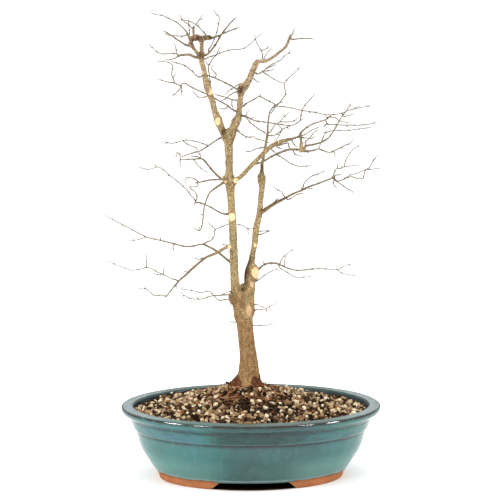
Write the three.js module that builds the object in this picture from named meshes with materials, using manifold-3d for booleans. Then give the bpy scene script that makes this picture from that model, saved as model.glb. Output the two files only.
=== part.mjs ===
// A trident maple bonsai in winter, without leaves, in an oval glazed pot.
// Millimetres, +Z up. The origin lies under the middle of the pot, on the plane its feet stand on.
// +X is to the right and +Y away from somebody who looks at the front of the tree.
import * as THREE from 'three';
import { mergeVertices } from 'three/addons/utils/BufferGeometryUtils.js';
import Module from 'manifold-3d';

const wasm = await Module();
wasm.setup();

// Driving dimensions
const GAP = 0.35; // between pieces that touch
const OVAL_STEPS = 48;
const POT = {
  halfLength: 155.5,
  halfWidth: 118,
  height: 88,
  underside: 9.4, // of the bowl, above the plane the feet stand on
  floor: 18, // upper face of the floor
};
// Outer wall from the underside up to the rim: how far it lies inside the rim's outer edge, and its height.
const OUTER_WALL = [
  [41.8, 9.4], [40.4, 11], [34.3, 20.2], [25.8, 33], [21.8, 42], [17.8, 58], [17.4, 59.6], [15.2, 60.8],
  [14.2, 62.8], [12, 69], [11, 73.6], [4.5, 79], [1.2, 80.6], [0, 83.6], [1, 87.2], [3, 88],
];
// Inner wall from the rim down to the floor.
const INNER_WALL = [
  [13, 88], [15, 86.6], [17, 80], [22, 62], [30, 42], [43, 24], [52, 18],
];
const FEET = {
  outerTop: 43.2,
  outerBottom: 46,
  inner: 56,
  sunkTo: 13, // joined to the bowl up to this height
  cutHalfTop: 40, // half width of the gap between the feet
  cutHalfBottom: 50.5,
};
const DRAIN = { offset: 56, radius: 11, sides: 20 };
const MESH = { side: 30, thickness: 1.2, pitch: 5.4, hole: 3.8, across: 5 };
const WIRE = { diameter: 1.6, sides: 6, legOffset: 5.4, footLength: 10, bend: 1.4 };
const SOIL = {
  edge: 80.5, // height where it meets the wall
  rise: 11, // of the mound over the whole oval
  collar: 18, // more height close to the trunk
  collarReach: 40,
  backRise: 4, // more height along the back wall, but not at the right end
  backFrom: 20, // where that starts, behind the middle of the pot
  rightEnd: 70, // where it stops, right of the middle
  lattice: 6.4, // between neighbouring points of the granular surface
  grain: 2.6, // height of a grain over the gaps round it
  jitter: 1.7,
  seed: 20731,
};
// The limbs are drawn on an upright sheet through the trunk, as somebody at EYE sees them, and each is then
// carried forward or back along the line of sight, so the front view stays and the crown has depth.
const EYE = new THREE.Vector3(-115.1, -2197, 575);
const SHEET_Y = 30;
const SHEET_FOOT = -4; // where the heights on the sheet start, from the plane of the feet
const THINNEST = 1.25; // of a twig
const SWAY = { width: 2.4, length: 10, rootLength: 20 }; // of a limb to the front and back along its way
const TRUNK_SIDES = 18;
const FLARE = { lobes: 5, depth: 0.06, phase: -1.57, top: 124, bottom: 84 };

// Trunk from its buried end to the fork: x, height, width.
const TRUNK = [
  [-3.5, 62, 18], [-3.5, 76, 34], [-3.4, 90, 47], [-3.3, 99, 49.5], [-3.1, 104.5, 47.5], [-2.9, 109.5, 42],
  [-2.3, 114.4, 34], [-1.6, 119.3, 28], [-1.1, 126.7, 24.6], [-1.3, 140, 21.6], [-2.5, 150, 20],
  [-4.8, 170, 19.1], [-5.7, 180, 19.4], [-6.6, 190, 20.4], [-7.6, 200, 24.8], [-8, 210, 22],
  [-8, 222, 16], [-8.3, 229, 9], [-8.4, 231, 5],
];

// Limbs: name, the limb it grows from, how far its tip lies behind its root (in front if negative), and its
// points on the sheet as x, height and, where it changes, width.
const LIMBS = [
  ["stem", "trunk", -6, [[-8, 190, 18], [-13, 205, 15], [-15.5, 220, 14], [-17.5, 232, 12],
    [-18.2, 240, 10.2], [-19.1, 260, 10.2], [-19.7, 280, 10], [-20.3, 300, 9.3], [-21.5, 320, 9],
    [-22.8, 340, 9.2], [-23.3, 350, 11], [-24, 357, 12.5], [-24.3, 363, 10], [-24.5, 370, 8.8],
    [-24.7, 390, 9.6], [-25.2, 400, 10.2], [-24.5, 408, 13], [-23.5, 415, 12]]],
  ["rightStem", "trunk", 12, [[-2, 195, 14], [-1, 210, 13], [-0.5, 220, 12.8], [0, 230, 13], [0.5, 240, 13],
    [1, 250, 10.5], [2.4, 260, 7.5], [3.8, 270, 7], [5.7, 280, 7.5], [7.6, 300, 8.2], [10.1, 310, 7.4],
    [12.2, 320, 7.7], [12.6, 330, 6.4], [14.7, 350, 7.3], [14.2, 360, 10], [14.4, 366, 6], [14.6, 370, 4],
    [14.5, 376, 4], [17, 388, 3.2], [19.5, 403, 3.2], [21.5, 414, 3]]],
  ["stemKnob", "stem", -3, [[-16, 208, 8], [-20.5, 213, 9.5], [-21.5, 217, 9], [-18, 224, 7]]],
  ["scarKnob", "rightStem", -2, [[0.3, 233, 8], [4, 239, 10], [5.8, 246, 11], [4, 253, 9], [1.5, 259, 6]]],
  ["leftTop", "stem", -10, [[-27, 405, 8], [-31, 413, 8], [-34, 420, 8.6], [-37, 428, 9.5],
    [-39.5, 435, 8.5], [-41.7, 440, 7.2], [-43.7, 450, 6.9], [-46.5, 458, 7.3], [-50.8, 471, 8.8],
    [-53, 480, 7], [-54.6, 490, 6.2], [-57, 500, 6.6], [-57.3, 507, 5.5]]],
  ["leader", "stem", 12, [[-23, 410, 10], [-19.5, 420, 10], [-16, 427, 10], [-13.3, 434, 8],
    [-12.7, 440, 7], [-10, 460, 6.8], [-8, 466, 8.5], [-4.5, 471, 8.5], [-1.5, 476, 7.5], [4, 489, 7],
    [6.8, 495, 7.3], [9, 498.5, 6]]],
  ["leaderKnob", "leader", -3, [[-10.5, 457, 5], [-12.5, 464, 6], [-10.5, 471, 5]]],
  ["leaderArm", "leader", 34, [[13, 498.5, 4.5], [20, 499.5], [25, 502], [30, 505.5, 3.5], [35, 509.5],
    [43.5, 517, 3.5], [46.5, 525], [48, 527.5, 2.8]]],
  ["leaderTip", "leaderArm", 8, [[51, 532, 1.6], [53, 538, 1.3]]],
  ["leaderTipOut", "leaderArm", 26, [[49.5, 525, 1.8], [60, 525.6], [70, 525.6], [77, 525, 1.2]]],
  ["leaderNub", "leaderArm", -3, [[47, 526, 1.6], [48, 531, 1.4]]],
  ["rightStemTip", "rightStem", 30, [[21.3, 416, 2], [22, 427], [22.7, 433], [23.9, 439], [27, 443.5],
    [30.8, 447.3], [35.4, 449.6], [37.7, 452.6], [43, 461], [41.5, 467], [41, 473], [45, 478], [55, 487],
    [60, 493, 1]]],
  ["rightStemTwin", "rightStemTip", -8, [[25, 437.4, 1.3], [28.5, 442], [33, 447.3], [36.9, 450.3],
    [40.3, 451]]],

  ["crownStub", "leftTop", 4, [[-57, 505, 5.5], [-57, 515, 4.6], [-57, 526, 5.5]]],
  ["crownBarLeft", "crownStub", -8, [[-60, 527, 5], [-64.5, 526, 5.5], [-69, 524, 5], [-71, 519, 4]]],
  ["crownBarRight", "crownStub", 10, [[-54, 526.8, 5], [-50, 526.4, 4.5], [-45.5, 526.4, 3], [-37, 529, 2],
    [-30.4, 532], [-24.3, 534.6], [-13, 538.6, 1.8]]],
  ["crownLeft", "leftTop", -36, [[-59, 505.7, 4.5], [-63, 510.3], [-69, 518.5, 3.6], [-70, 523],
    [-73.5, 531, 3], [-75, 534, 1.7], [-78, 537.5], [-82.3, 541.6], [-86.5, 545], [-90, 547],
    [-99.5, 551.3], [-103.5, 553], [-111, 554], [-117, 556.5, 0.9]]],
  ["crownLeftFork", "crownLeft", 14, [[-73, 517.5, 2.4], [-76.5, 518.8], [-81, 521.5], [-91.7, 528.6],
    [-102, 535, 1.9]]],
  ["crownLeftThin", "crownLeft", -10, [[-76.5, 529.2, 1.4], [-90, 529.2], [-101, 530.5, 1]]],
  ["crownLeftUp", "crownLeft", 6, [[-72, 530, 1.3], [-72, 540], [-73, 548]]],
  ["crownKnob", "crownBarLeft", 2, [[-65.7, 527, 2.6], [-66.5, 535, 2.6], [-66, 540, 2.6]]],
  ["crownKnobOut", "crownKnob", -8, [[-68, 538, 1.3], [-72, 542], [-77, 545.5], [-80, 549]]],
  ["crownArch", "crownBarRight", -10, [[-52, 530, 1.6], [-56, 535], [-61, 540], [-66, 543.5], [-72, 546.5],
    [-80, 547.5], [-84, 547.5, 1]]],
  ["crownArchUp", "crownArch", 5, [[-61, 546, 1.2], [-58, 550], [-55, 553.5]]],
  ["crownArchNub", "crownArch", -2, [[-80, 547.5, 1.2], [-82, 553.5]]],
  ["crownRight", "leftTop", 22, [[-51.6, 506.4, 2.6], [-47.8, 509.5], [-44, 514], [-40.2, 519.2],
    [-34.5, 529], [-28, 538], [-24.3, 542.5], [-16, 550.8, 1.8]]],
  ["crownBack", "crownRight", 30, [[-49, 511.8, 1.5], [-46.3, 516.2], [-43.2, 522.3], [-38, 536.5],
    [-36.8, 543.3], [-36, 550.8], [-38.7, 553.8], [-41.4, 557.2], [-41.8, 560.2, 1]]],
  ["crownLow", "leftTop", -34, [[-59, 502.8, 3.6], [-64.5, 504], [-72, 507], [-76.6, 506.8],
    [-84, 505.7, 2.5], [-87.3, 503.4, 1.5], [-94.8, 501], [-102.7, 500.5, 1]]],
  ["crownLowOut", "crownLow", -24, [[-85.7, 507.5, 1.4], [-90.3, 508.3], [-104, 508], [-109.2, 509.8],
    [-114.5, 514.7], [-119.4, 520, 0.9]]],
  ["crownLowUp", "crownLow", 8, [[-86, 508, 1.2], [-87.2, 513.2], [-89, 520.7]]],
  ["crownDark", "leftTop", 20, [[-47.2, 472.6, 1.4], [-47.5, 480], [-48.7, 493.7], [-46.4, 497.5],
    [-44, 502], [-40.3, 505.8], [-37.6, 511], [-35, 516.3]]],
  ["crownDarkFork", "crownDark", -4, [[-50, 495.7, 1.2], [-53, 499.7]]],
  ["crownLong", "leftTop", 58, [[-52, 502, 1.6], [-49.3, 503.7], [-44.8, 504.9], [-29, 510.8], [-20, 512.8],
    [-12, 513], [-5, 515], [0, 519], [6, 524.5], [14, 532, 0.8]]],

  ["armUp", "leaderArm", -22, [[15, 500, 1.5], [15, 508], [12.5, 513], [7, 524], [5.5, 531, 0.9]]],
  ["armUpFork", "armUp", 4, [[22, 516, 1.2], [20, 518]]],
  ["armUpRight", "leaderArm", 8, [[17, 502, 1.2], [26, 515]]],
  ["fan", "leader", -56, [[10, 484, 1.8], [15, 487], [20, 490.5], [25, 494.5], [30, 497], [38, 501.5],
    [41, 505], [45, 508], [49, 508.5, 0.8]]],
  ["fanLow", "fan", -8, [[15, 487, 1.3], [23.5, 488], [29.5, 489.5]]],
  ["fanMiddle", "fan", 7, [[20, 490.5, 1.3], [26, 493], [32, 495.5]]],
  ["fanDown", "fan", -24, [[16, 486, 1.5], [20, 483.5], [25, 480], [30, 477], [36, 474.5], [41, 473, 1]]],
  ["leaderSide", "leader", -9, [[5, 478, 1.3], [9, 475], [13, 474]]],

  ["longRight", "leader", 80, [[-8, 446, 2], [-4, 449, 1.7], [0, 451.5], [5, 454], [12, 457.5], [15, 456],
    [20, 453], [29, 448.5], [31, 446], [38, 445.5], [52, 443], [60, 441], [79.3, 438], [90, 435.5],
    [99, 435.5], [109.2, 437], [117.9, 440.3], [129.5, 443.2], [143.4, 446.4, 1]]],
  ["longRightNub", "longRight", -2, [[13, 460.5, 1.3]]],
  ["longRightUp", "longRight", 4, [[125, 442.8, 1.2], [131, 445.4]]],
  ["longRightLow", "longRight", -10, [[111.3, 433.5, 1.2], [118, 434.5], [124.5, 435.7]]],
  ["knobTwig", "leader", -58, [[-6.6, 434.4, 2], [-0.5, 431.8], [4.8, 429], [11, 427.8], [23.9, 426],
    [39.2, 423.7], [50, 422.6], [54.4, 424.6], [59, 427.3], [63.6, 431.5, 1]]],
  ["knobUp", "knobTwig", -3, [[-4, 436, 1.2], [-1, 441]]],
  ["knobLow", "leader", -30, [[-5, 433, 1.6], [1, 426], [7, 421.5], [11.7, 417.7], [16.3, 415.4],
    [20, 412.3]]],
  ["upright", "knobTwig", -18, [[60.5, 428, 1.5], [61, 435], [62, 440.5], [66, 447], [70, 451.5],
    [78, 461, 1]]],
  ["topFront", "rightStem", -34, [[24, 410.7, 1.4], [30, 411.5], [33.8, 413.8], [38.4, 417.6], [35.4, 422],
    [32.3, 424.5], [28.5, 425.3, 1]]],
  ["topFrontOut", "topFront", -7, [[43, 420, 1.2], [49, 422.3]]],
  ["topFrontDown", "topFront", 8, [[37.7, 416.8, 1.2], [35.4, 411.5], [32.3, 407], [30, 403]]],
  ["topBack", "rightStemTip", 30, [[23.9, 414.5, 1.4], [27, 419], [29.3, 423], [35.4, 426.7], [39.2, 431.3],
    [47.6, 439, 1]]],
  ["topBackOut", "topBack", 10, [[36, 426.7, 1.2], [53, 428.2], [58.2, 432.8]]],
  ["crossing", "leader", -34, [[-15, 417.7, 1.6], [-12, 414.3], [-7.4, 411.2], [-5, 409.8], [1, 409],
    [4.5, 409.5], [8.7, 406.7], [14.8, 405.2], [23.9, 401.7, 1.2]]],
  ["crossingNub", "crossing", -2, [[-5, 406.5, 1.2]]],
  ["inner", "rightStem", 24, [[16, 396.8, 1.5], [11, 395.7], [7, 395], [1, 392], [-6, 392, 1]]],

  ["diagonal", "stem", -34, [[-18, 358, 5], [-12, 361, 5], [-1.3, 371.8], [8.6, 382], [17, 390, 5.4],
    [20.8, 394, 5.5], [25.4, 397.8], [30.8, 401, 5.2], [35.4, 403.2, 5], [43.7, 405.5], [50.6, 407, 3],
    [56.7, 409, 2.7], [60.5, 410.8, 2.6]]],
  ["diagonalOut", "diagonal", -46, [[60.4, 412.8, 2.2], [64.8, 417.9], [68.4, 420.7], [74.3, 424.3],
    [83.7, 427.3], [91.7, 430.2], [97, 435, 1.4]]],
  ["diagonalTip", "diagonalOut", -14, [[92, 431.5, 1.5], [103, 431.5], [106, 428.5], [110, 427.3],
    [119.5, 425, 1]]],
  ["diagonalFar", "diagonalOut", 40, [[91, 427.3, 1.5], [92.4, 424.5], [97.5, 423.8], [114.3, 423],
    [132.5, 423], [146.3, 424.7], [152, 426.5, 1]]],
  ["diagonalKnot", "diagonalFar", -3, [[87.5, 420.8, 1.6]]],
  ["diagonalMid", "diagonal", 22, [[64, 411, 1.4], [70, 415], [76, 418], [83, 421, 1.1]]],
  ["diagonalFlat", "diagonal", -22, [[60, 409, 1.4], [65, 408], [70, 407.5], [76, 408], [77, 411, 1.1]]],
  ["strand", "diagonal", 6, [[31.5, 400, 2], [42, 401.3], [45.6, 402], [46.8, 397], [49, 394.7, 1.6]]],
  ["strandShort", "diagonal", -7, [[32, 398, 1.4], [36, 395.5], [40, 394.5]]],
  ["strandSide", "diagonal", -5, [[26, 394, 1.4], [32, 389]]],
  ["strandFork", "diagonal", 4, [[50.6, 404, 1.4], [53, 400], [56.7, 397]]],
  ["lowLimb", "diagonal", -56, [[3.5, 376.4, 2], [14, 379, 2.2], [19.3, 381.7], [25.4, 385.5],
    [35.4, 390.2], [46.8, 394, 2.8], [56.7, 394], [66.6, 392, 2.8], [75.6, 392.8, 2], [82, 394.6],
    [91, 391.3], [95.3, 390.4, 1.5], [104, 393.8], [115, 399.3], [120, 401], [124.4, 406.2, 1]]],
  ["riser", "lowLimb", -2, [[61.3, 394, 3.4], [61.3, 403, 3], [61, 410, 2.8]]],
  ["lowHook", "lowLimb", -6, [[102, 388, 1.2], [100.8, 384.4]]],
  ["lowNub", "lowLimb", 3, [[82.8, 396, 1.2], [84.3, 399.7], [85.5, 402]]],
  ["lowBack", "lowLimb", 14, [[51, 394, 1.5], [53, 390], [57, 387], [65, 386, 1.1]]],
  ["lowSweep", "lowLimb", -48, [[31, 388, 1.6], [34, 387], [42, 382], [48, 378], [58, 374], [68, 374],
    [74, 375, 1]]],
  ["swoop", "lowLimb", 70, [[65.5, 396.8, 2.5], [76.4, 400], [85.9, 402.6], [90.2, 405], [93.9, 407.7],
    [97.5, 412], [103.3, 421.5], [109.2, 432.3], [115, 439.6], [121.2, 449, 1.2]]],
  ["swoopUp", "swoop", -10, [[86.5, 404, 1.5], [88.8, 411.4], [91.7, 417.5, 1]]],
  ["swoopOut", "swoopUp", 44, [[90.2, 413.5, 1.4], [94, 415], [99, 416.4], [118, 416.7], [132.5, 418.5],
    [145.6, 420.2, 1]]],
  ["swoopLow", "swoop", -14, [[66, 402, 1.4], [72, 408], [77, 415], [82, 418, 1]]],

  ["rightBranch", "rightStem", 55, [[14, 319, 5], [20, 323, 5], [30, 329.5, 4.2], [42, 335.5, 3], [50, 340],
    [63, 345.5, 2.6], [70, 349], [80, 352.5, 2.2], [97, 359, 2.2], [101, 360.5, 2.6]]],
  ["rightInner", "rightBranch", -20, [[43, 336, 1.5], [40, 340], [38, 344], [34, 345], [28, 350, 1]]],
  ["rightNub", "rightBranch", -8, [[30, 331, 1.4], [35, 336]]],
  ["rightFlat", "rightBranch", -16, [[45, 334, 1.4], [50, 336], [55, 339], [60, 341], [65, 341]]],
  ["rightRise", "rightBranch", -48, [[63, 346, 1.5], [65, 353], [69, 358], [74, 362], [82, 365],
    [90, 368, 1]]],
  ["rightSpurUp", "rightBranch", 3, [[61, 350, 1.3]]],
  ["rightSpurOut", "rightBranch", -6, [[70, 348, 1.3], [76, 347.5]]],
  ["rightUp", "rightBranch", -14, [[100.5, 363, 1.6], [102, 368], [104, 371], [108, 371], [113, 373],
    [130, 374.5, 1]]],
  ["rightUpHigh", "rightUp", 20, [[113, 373, 1.3], [115, 381], [121, 391], [125, 395], [132, 398.5, 1]]],
  ["rightUpNub", "rightUp", -3, [[105, 376, 1.2], [108, 377]]],
  ["rightOut", "rightBranch", 22, [[102, 357, 1.7], [106, 356], [110, 357], [115, 359.5], [122, 361],
    [131, 358.5], [136, 359.5], [137, 363], [138, 368], [143, 372], [149, 382], [154, 387.5, 1]]],
  ["rightOutLow", "rightOut", 6, [[138, 369, 1.3], [147, 370], [158, 371.5, 1]]],
  ["rightOutMid", "rightOut", -18, [[115, 360, 1.3], [120, 363], [126, 364.5], [138, 369, 1]]],
  ["rightShort", "rightBranch", -5, [[102, 362, 1.3], [110, 364]]],
  ["rightDown", "rightBranch", -34, [[104, 355.5, 1.6], [108, 353], [119, 345.5], [124, 343],
    [123.5, 338.5, 1]]],
  ["rightDownIn", "rightBranch", 10, [[101, 357, 1.3], [100, 353], [102, 349.5], [105, 348]]],

  ["lowRight", "rightStem", -95, [[11, 250.5, 3], [15, 254, 2.6], [20, 256.5], [32, 257], [37, 255, 2.2],
    [46, 251], [55, 248.5], [80, 250, 1.6], [105, 249, 1.2]]],
  ["lowRightNub", "lowRight", 2, [[15.5, 260.5, 1.4]]],
  ["lowRightUp", "lowRight", 26, [[36, 256, 1.5], [38, 261], [41, 265.5], [45, 269], [54, 274.5, 1]]],
  ["lowRightUpIn", "lowRight", -8, [[42, 255, 1.3], [41.5, 260], [45, 268]]],
  ["lowRightDrop", "lowRight", -14, [[35, 255, 1.5], [36, 252], [46, 245.5], [51, 242], [56, 240],
    [67, 240], [77, 241.5, 1]]],
  ["lowRightTip", "lowRight", -10, [[105, 249, 1.2], [110, 245], [118, 243], [133, 240, 0.9]]],
  ["lowRightTipUp", "lowRight", 14, [[106, 249, 1.2], [112, 252], [122, 256, 0.9]]],
  ["lowRightUnder", "rightStem", -24, [[8, 235.5, 1.7], [12, 238], [17, 242], [27, 248], [35, 250.5, 1]]],
  ["forkTwig", "rightStem", -26, [[6, 200, 1.5], [9, 201], [18, 201], [25, 205], [35, 209, 1]]],
  ["forkTwigUp", "rightStem", -8, [[5, 207, 1.3], [9, 207], [14, 204.5], [19, 202.5]]],
  ["forkTwigDown", "forkTwig", -3, [[20, 201, 1.2], [21, 197.5], [22.5, 199.5]]],
  ["trunkTwig", "trunk", 24, [[4, 181.5, 1.5], [12, 181.5], [18, 181], [25, 183], [33, 187, 1]]],
  ["trunkTwigLeft", "trunk", -8, [[-15, 186, 1.6], [-22, 186], [-25.5, 189, 1.1]]],
  ["stemTwig", "rightStem", -12, [[12, 292, 1.4], [16, 293], [25, 298]]],
  ["stemTwigBack", "rightStem", 10, [[13, 296, 1.3], [24, 297]]],

  ["leftFlat", "stem", -70, [[-22.5, 219.5, 1.9], [-38, 218.5], [-50, 217], [-53, 215.5], [-73, 215.5],
    [-77, 218], [-81.5, 220], [-82, 225, 0.9]]],
  ["leftFlatRoot", "stem", -14, [[-23, 223.5, 1.4], [-30, 221], [-36, 218.5, 1]]],
  ["leftWave", "stem", 60, [[-22.5, 214, 1.8], [-30, 213.5], [-36, 212], [-44, 219], [-48, 223.5],
    [-60, 222], [-66, 224], [-80, 226.5], [-82, 227], [-83, 231.5, 0.9]]],
  ["leftLow", "stem", -108, [[-28, 277, 4], [-38, 271, 3.8], [-45, 268, 3.4], [-52, 265], [-57, 261.5],
    [-70, 250.5, 3], [-80, 241], [-85, 237, 2.5], [-90, 231], [-95, 225, 1.8], [-101.5, 218, 1.6],
    [-106, 219.5], [-115, 219], [-122, 225], [-128, 230, 1]]],
  ["leftLowTip", "leftLow", -5, [[-126, 227.5, 1.2], [-134, 228]]],
  ["leftLowRoot", "stem", 12, [[-27, 279.5, 1.4], [-34, 280.5]]],
  ["leftLowBack", "leftLow", 14, [[-55, 264, 1.5], [-62, 262.5], [-69, 265.5, 1.1]]],
  ["leftLowNub", "leftLow", 3, [[-75, 247, 1.3], [-80, 248]]],
  ["leftFar", "leftLow", -30, [[-87, 237, 1.5], [-93, 239], [-105, 245], [-110, 247], [-124, 253.5],
    [-130, 251.5], [-142, 250], [-157, 255.5], [-173, 262, 0.9]]],
  ["leftFarUp", "leftFar", 6, [[-124, 254, 1.2], [-124, 270, 0.9]]],
  ["leftFarNub", "leftFar", -2, [[-104, 245, 1.2], [-103.5, 252.5]]],
  ["leftFarFlat", "leftFar", 8, [[-106, 245, 1.2], [-117, 246]]],
  ["leftLowDrop", "leftLow", -5, [[-88, 233, 1.3], [-88.5, 229], [-87, 226]]],
  ["leftMid", "stem", 25, [[-24, 259, 3], [-28, 262.5, 3], [-44, 275], [-50, 278], [-55, 280.5, 2.4],
    [-60, 280.5], [-66, 279], [-76, 278], [-90, 281.5, 2], [-106, 285.5], [-124, 290, 1.5], [-137, 296.8],
    [-155, 306.5], [-165, 312], [-173, 317, 0.9]]],
  ["leftMidFlat", "leftMid", 16, [[-124, 290, 1.3], [-135, 286.5], [-145, 286, 0.9]]],
  ["leftMidNub", "leftMid", -2, [[-106, 291.5, 1.2]]],
  ["leftMidDown", "leftMid", 6, [[-90, 281.5, 1.3], [-92, 279], [-91, 272]]],
  ["leftBehind", "leftMid", 58, [[-55, 281, 1.6], [-46, 286], [-43, 290], [-41.5, 298], [-33, 302],
    [-25, 305], [-15, 304.5], [-8, 303], [-1.5, 299], [4, 300, 1]]],
  ["leftBehindDown", "leftBehind", 3, [[-2, 299, 1.2], [-2, 294], [1, 292.5]]],
  ["leftBehindOut", "leftBehind", 12, [[-41.5, 299, 1.2], [-50, 306.5]]],
  ["leftThird", "stem", 76, [[-30, 317, 2.2], [-50, 327, 1.9], [-61, 331], [-65, 331.5, 2.5],
    [-65, 333, 1.5], [-70, 339], [-75, 346], [-87, 357], [-94, 362.5], [-111.5, 374], [-115, 372.5],
    [-120, 371], [-133, 374, 0.9]]],
  ["leftThirdRoot", "stem", -6, [[-28, 317, 1.3], [-34, 317.5]]],
  ["leftThirdUp", "leftThird", -22, [[-64, 334, 1.4], [-63.5, 341], [-72, 350], [-66, 350], [-62, 351],
    [-61, 354, 1]]],
  ["leftThirdNub", "leftThird", 2, [[-67, 327.5, 1.3]]],
  ["leftNode", "stem", -54, [[-36, 358.5, 2.2], [-48, 358], [-62, 355, 1.8], [-66, 354.5, 1.4]]],
  ["leftNodeUp", "leftNode", -18, [[-61, 355.5, 1.4], [-64, 358], [-75, 361], [-77, 359], [-76, 353, 1]]],
  ["leftDrop", "stem", -76, [[-31, 355, 3], [-35, 352.5, 3], [-43, 347, 2.4], [-47, 344, 2], [-52, 334],
    [-54, 328], [-56, 312], [-58, 301, 1.6], [-60, 297], [-65, 299.5], [-69, 301, 1]]],
  ["leftDropNub", "leftDrop", -2, [[-59.5, 316.5, 1.3]]],
  ["leftRise", "stem", 66, [[-31, 358, 3], [-36, 361, 2.8], [-45, 370], [-54, 381], [-56, 383, 2.2],
    [-67, 383, 1.8], [-83, 382.5, 1.4]]],
  ["leftRiseTip", "leftRise", 6, [[-83, 388, 1.2], [-86.5, 391.5], [-87.5, 386], [-91, 386]]],
  ["leftRiseDown", "leftRise", -3, [[-83, 376, 1.2], [-82, 373.5]]],
  ["leftRiseNub", "leftRise", 6, [[-59, 388, 1.3], [-62, 391.5]]],
  ["leftRiseSide", "leftRise", -10, [[-60, 384, 1.3], [-72, 387]]],
  ["leftRiseFall", "leftRise", -14, [[-67, 382.5, 1.3], [-63, 377], [-58, 372], [-49, 366, 1]]],
  ["leftSlope", "leftTop", 80, [[-31, 410, 2.2], [-37, 407, 1.9], [-54, 396], [-60, 392.5], [-70, 390],
    [-82, 385.5, 1.3]]],
  ["leftSlopeOut", "leftSlope", 6, [[-49, 399, 1.4], [-62, 403.5], [-76, 406], [-94, 402],
    [-103, 405, 0.9]]],
  ["leftSlopeIn", "leftSlopeOut", -12, [[-79, 405, 1.3], [-75, 401.5], [-70, 399], [-63, 396],
    [-62, 391, 1]]],

  ["crossFront", "leader", -112, [[-17, 440, 2], [-27, 447, 1.9], [-38.7, 453.7], [-50, 459.7],
    [-65.4, 466.6], [-79.8, 473, 1.6], [-81.4, 470.7], [-89, 473.4], [-99.5, 475.2], [-109, 478.6, 1]]],
  ["crossFrontDown", "crossFront", -10, [[-82, 468.4, 1.3], [-86.3, 462.7], [-93, 457.4, 1]]],
  ["crossFrontDrop", "crossFront", 6, [[-81, 468.4, 1.2], [-80.8, 459]]],
  ["crossFrontUp", "crossFront", 18, [[-89.7, 475.2, 1.4], [-92.7, 484.6], [-91.2, 490.6], [-92, 495.2],
    [-97.3, 498.2], [-109.8, 499, 0.9]]],
  ["crossFrontUnder", "crossFront", -26, [[-51, 457.5, 1.4], [-54, 456.7], [-60, 456.4], [-68, 464, 1]]],
  ["crossHigh", "leader", -84, [[-16, 466.5, 2.1], [-21.4, 469.5], [-28.2, 473.2], [-34.3, 476.2],
    [-55.6, 482.3, 1.7], [-59.3, 480.4], [-63.8, 482.7], [-67.6, 486.8], [-78.3, 494.8], [-84.4, 496.6],
    [-92.7, 499, 1.2]]],
  ["crossHighUp", "crossHigh", -12, [[-39.6, 483, 1.2], [-45.6, 490.6], [-44, 494]]],
  ["crossShort", "leader", -16, [[-15, 463, 1.6], [-25, 458], [-28, 455], [-35, 452, 1.2]]],
  ["crossUnder", "leader", 14, [[-12, 472, 1.4], [-20, 467], [-25, 464], [-29, 459, 1]]],
  ["crossBack", "leader", 52, [[-16, 453, 1.8], [-21, 453.5], [-26, 455.5], [-42, 460, 1.4]]],
  ["crossBackDown", "crossBack", 4, [[-21, 453, 1.2], [-21.5, 448], [-18.5, 441]]],
  ["crossFlat", "crossFront", 8, [[-28, 443.5, 1.3], [-36, 443]]],
];

// Closed bodies
function toSolid(geometry) {
  const bare = geometry.clone();
  bare.deleteAttribute('normal');
  bare.deleteAttribute('uv');
  const merged = mergeVertices(bare, 1e-4);
  return new wasm.Manifold(new wasm.Mesh({
    numProp: 3,
    vertProperties: new Float32Array(merged.attributes.position.array),
    triVerts: new Uint32Array(merged.index.array),
  }));
}

function toGeometry(solid) {
  const mesh = solid.getMesh();
  const geometry = new THREE.BufferGeometry();
  geometry.setAttribute('position', new THREE.BufferAttribute(new Float32Array(mesh.vertProperties), 3));
  geometry.setIndex(new THREE.BufferAttribute(new Uint32Array(mesh.triVerts), 1));
  geometry.computeVertexNormals();
  return geometry;
}

// A skin over rings of equally many points, each counter-clockwise seen from the far end, with flat ends.
function loft(rings) {
  const sides = rings[0].length;
  const points = rings.flat();
  const index = [];
  for (let ring = 0; ring + 1 < rings.length; ring += 1) {
    for (let side = 0; side < sides; side += 1) {
      const a = ring * sides + side;
      const b = ring * sides + (side + 1) % sides;
      index.push(a, b, b + sides, a, b + sides, a + sides);
    }
  }
  const last = (rings.length - 1) * sides;
  for (let side = 1; side + 1 < sides; side += 1) {
    index.push(0, side + 1, side);
    index.push(last, last + side, last + side + 1);
  }
  const geometry = new THREE.BufferGeometry();
  const places = points.flatMap((p) => [p.x, p.y, p.z]);
  geometry.setAttribute('position', new THREE.Float32BufferAttribute(places, 3));
  geometry.setIndex(index);
  return geometry;
}

// The largest shell alone: pockets that crossing pieces close off are filled that way.
function outerShell(solid) {
  return solid.decompose().reduce((best, shell) => (shell.volume() > best.volume() ? shell : best));
}

function block(width, depth, height, x, y, z) {
  const geometry = new THREE.BoxGeometry(width, depth, height);
  geometry.translate(x, y, z);
  return toSolid(geometry);
}

// A seeded draw between 0 and 1.
function makeDraw(seed) {
  let state = seed;
  return () => {
    state = (state + 0x6d2b79f5) | 0;
    let t = Math.imul(state ^ (state >>> 15), 1 | state);
    t = (t + Math.imul(t ^ (t >>> 7), 61 | t)) ^ t;
    return ((t ^ (t >>> 14)) >>> 0) / 4294967296;
  };
}

// Pot
function oval(inset, height) {
  const ring = [];
  for (let step = 0; step < OVAL_STEPS; step += 1) {
    const angle = (step / OVAL_STEPS) * 2 * Math.PI;
    ring.push(new THREE.Vector3(
      (POT.halfLength - inset) * Math.cos(angle),
      (POT.halfWidth - inset) * Math.sin(angle),
      height,
    ));
  }
  return ring;
}

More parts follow.
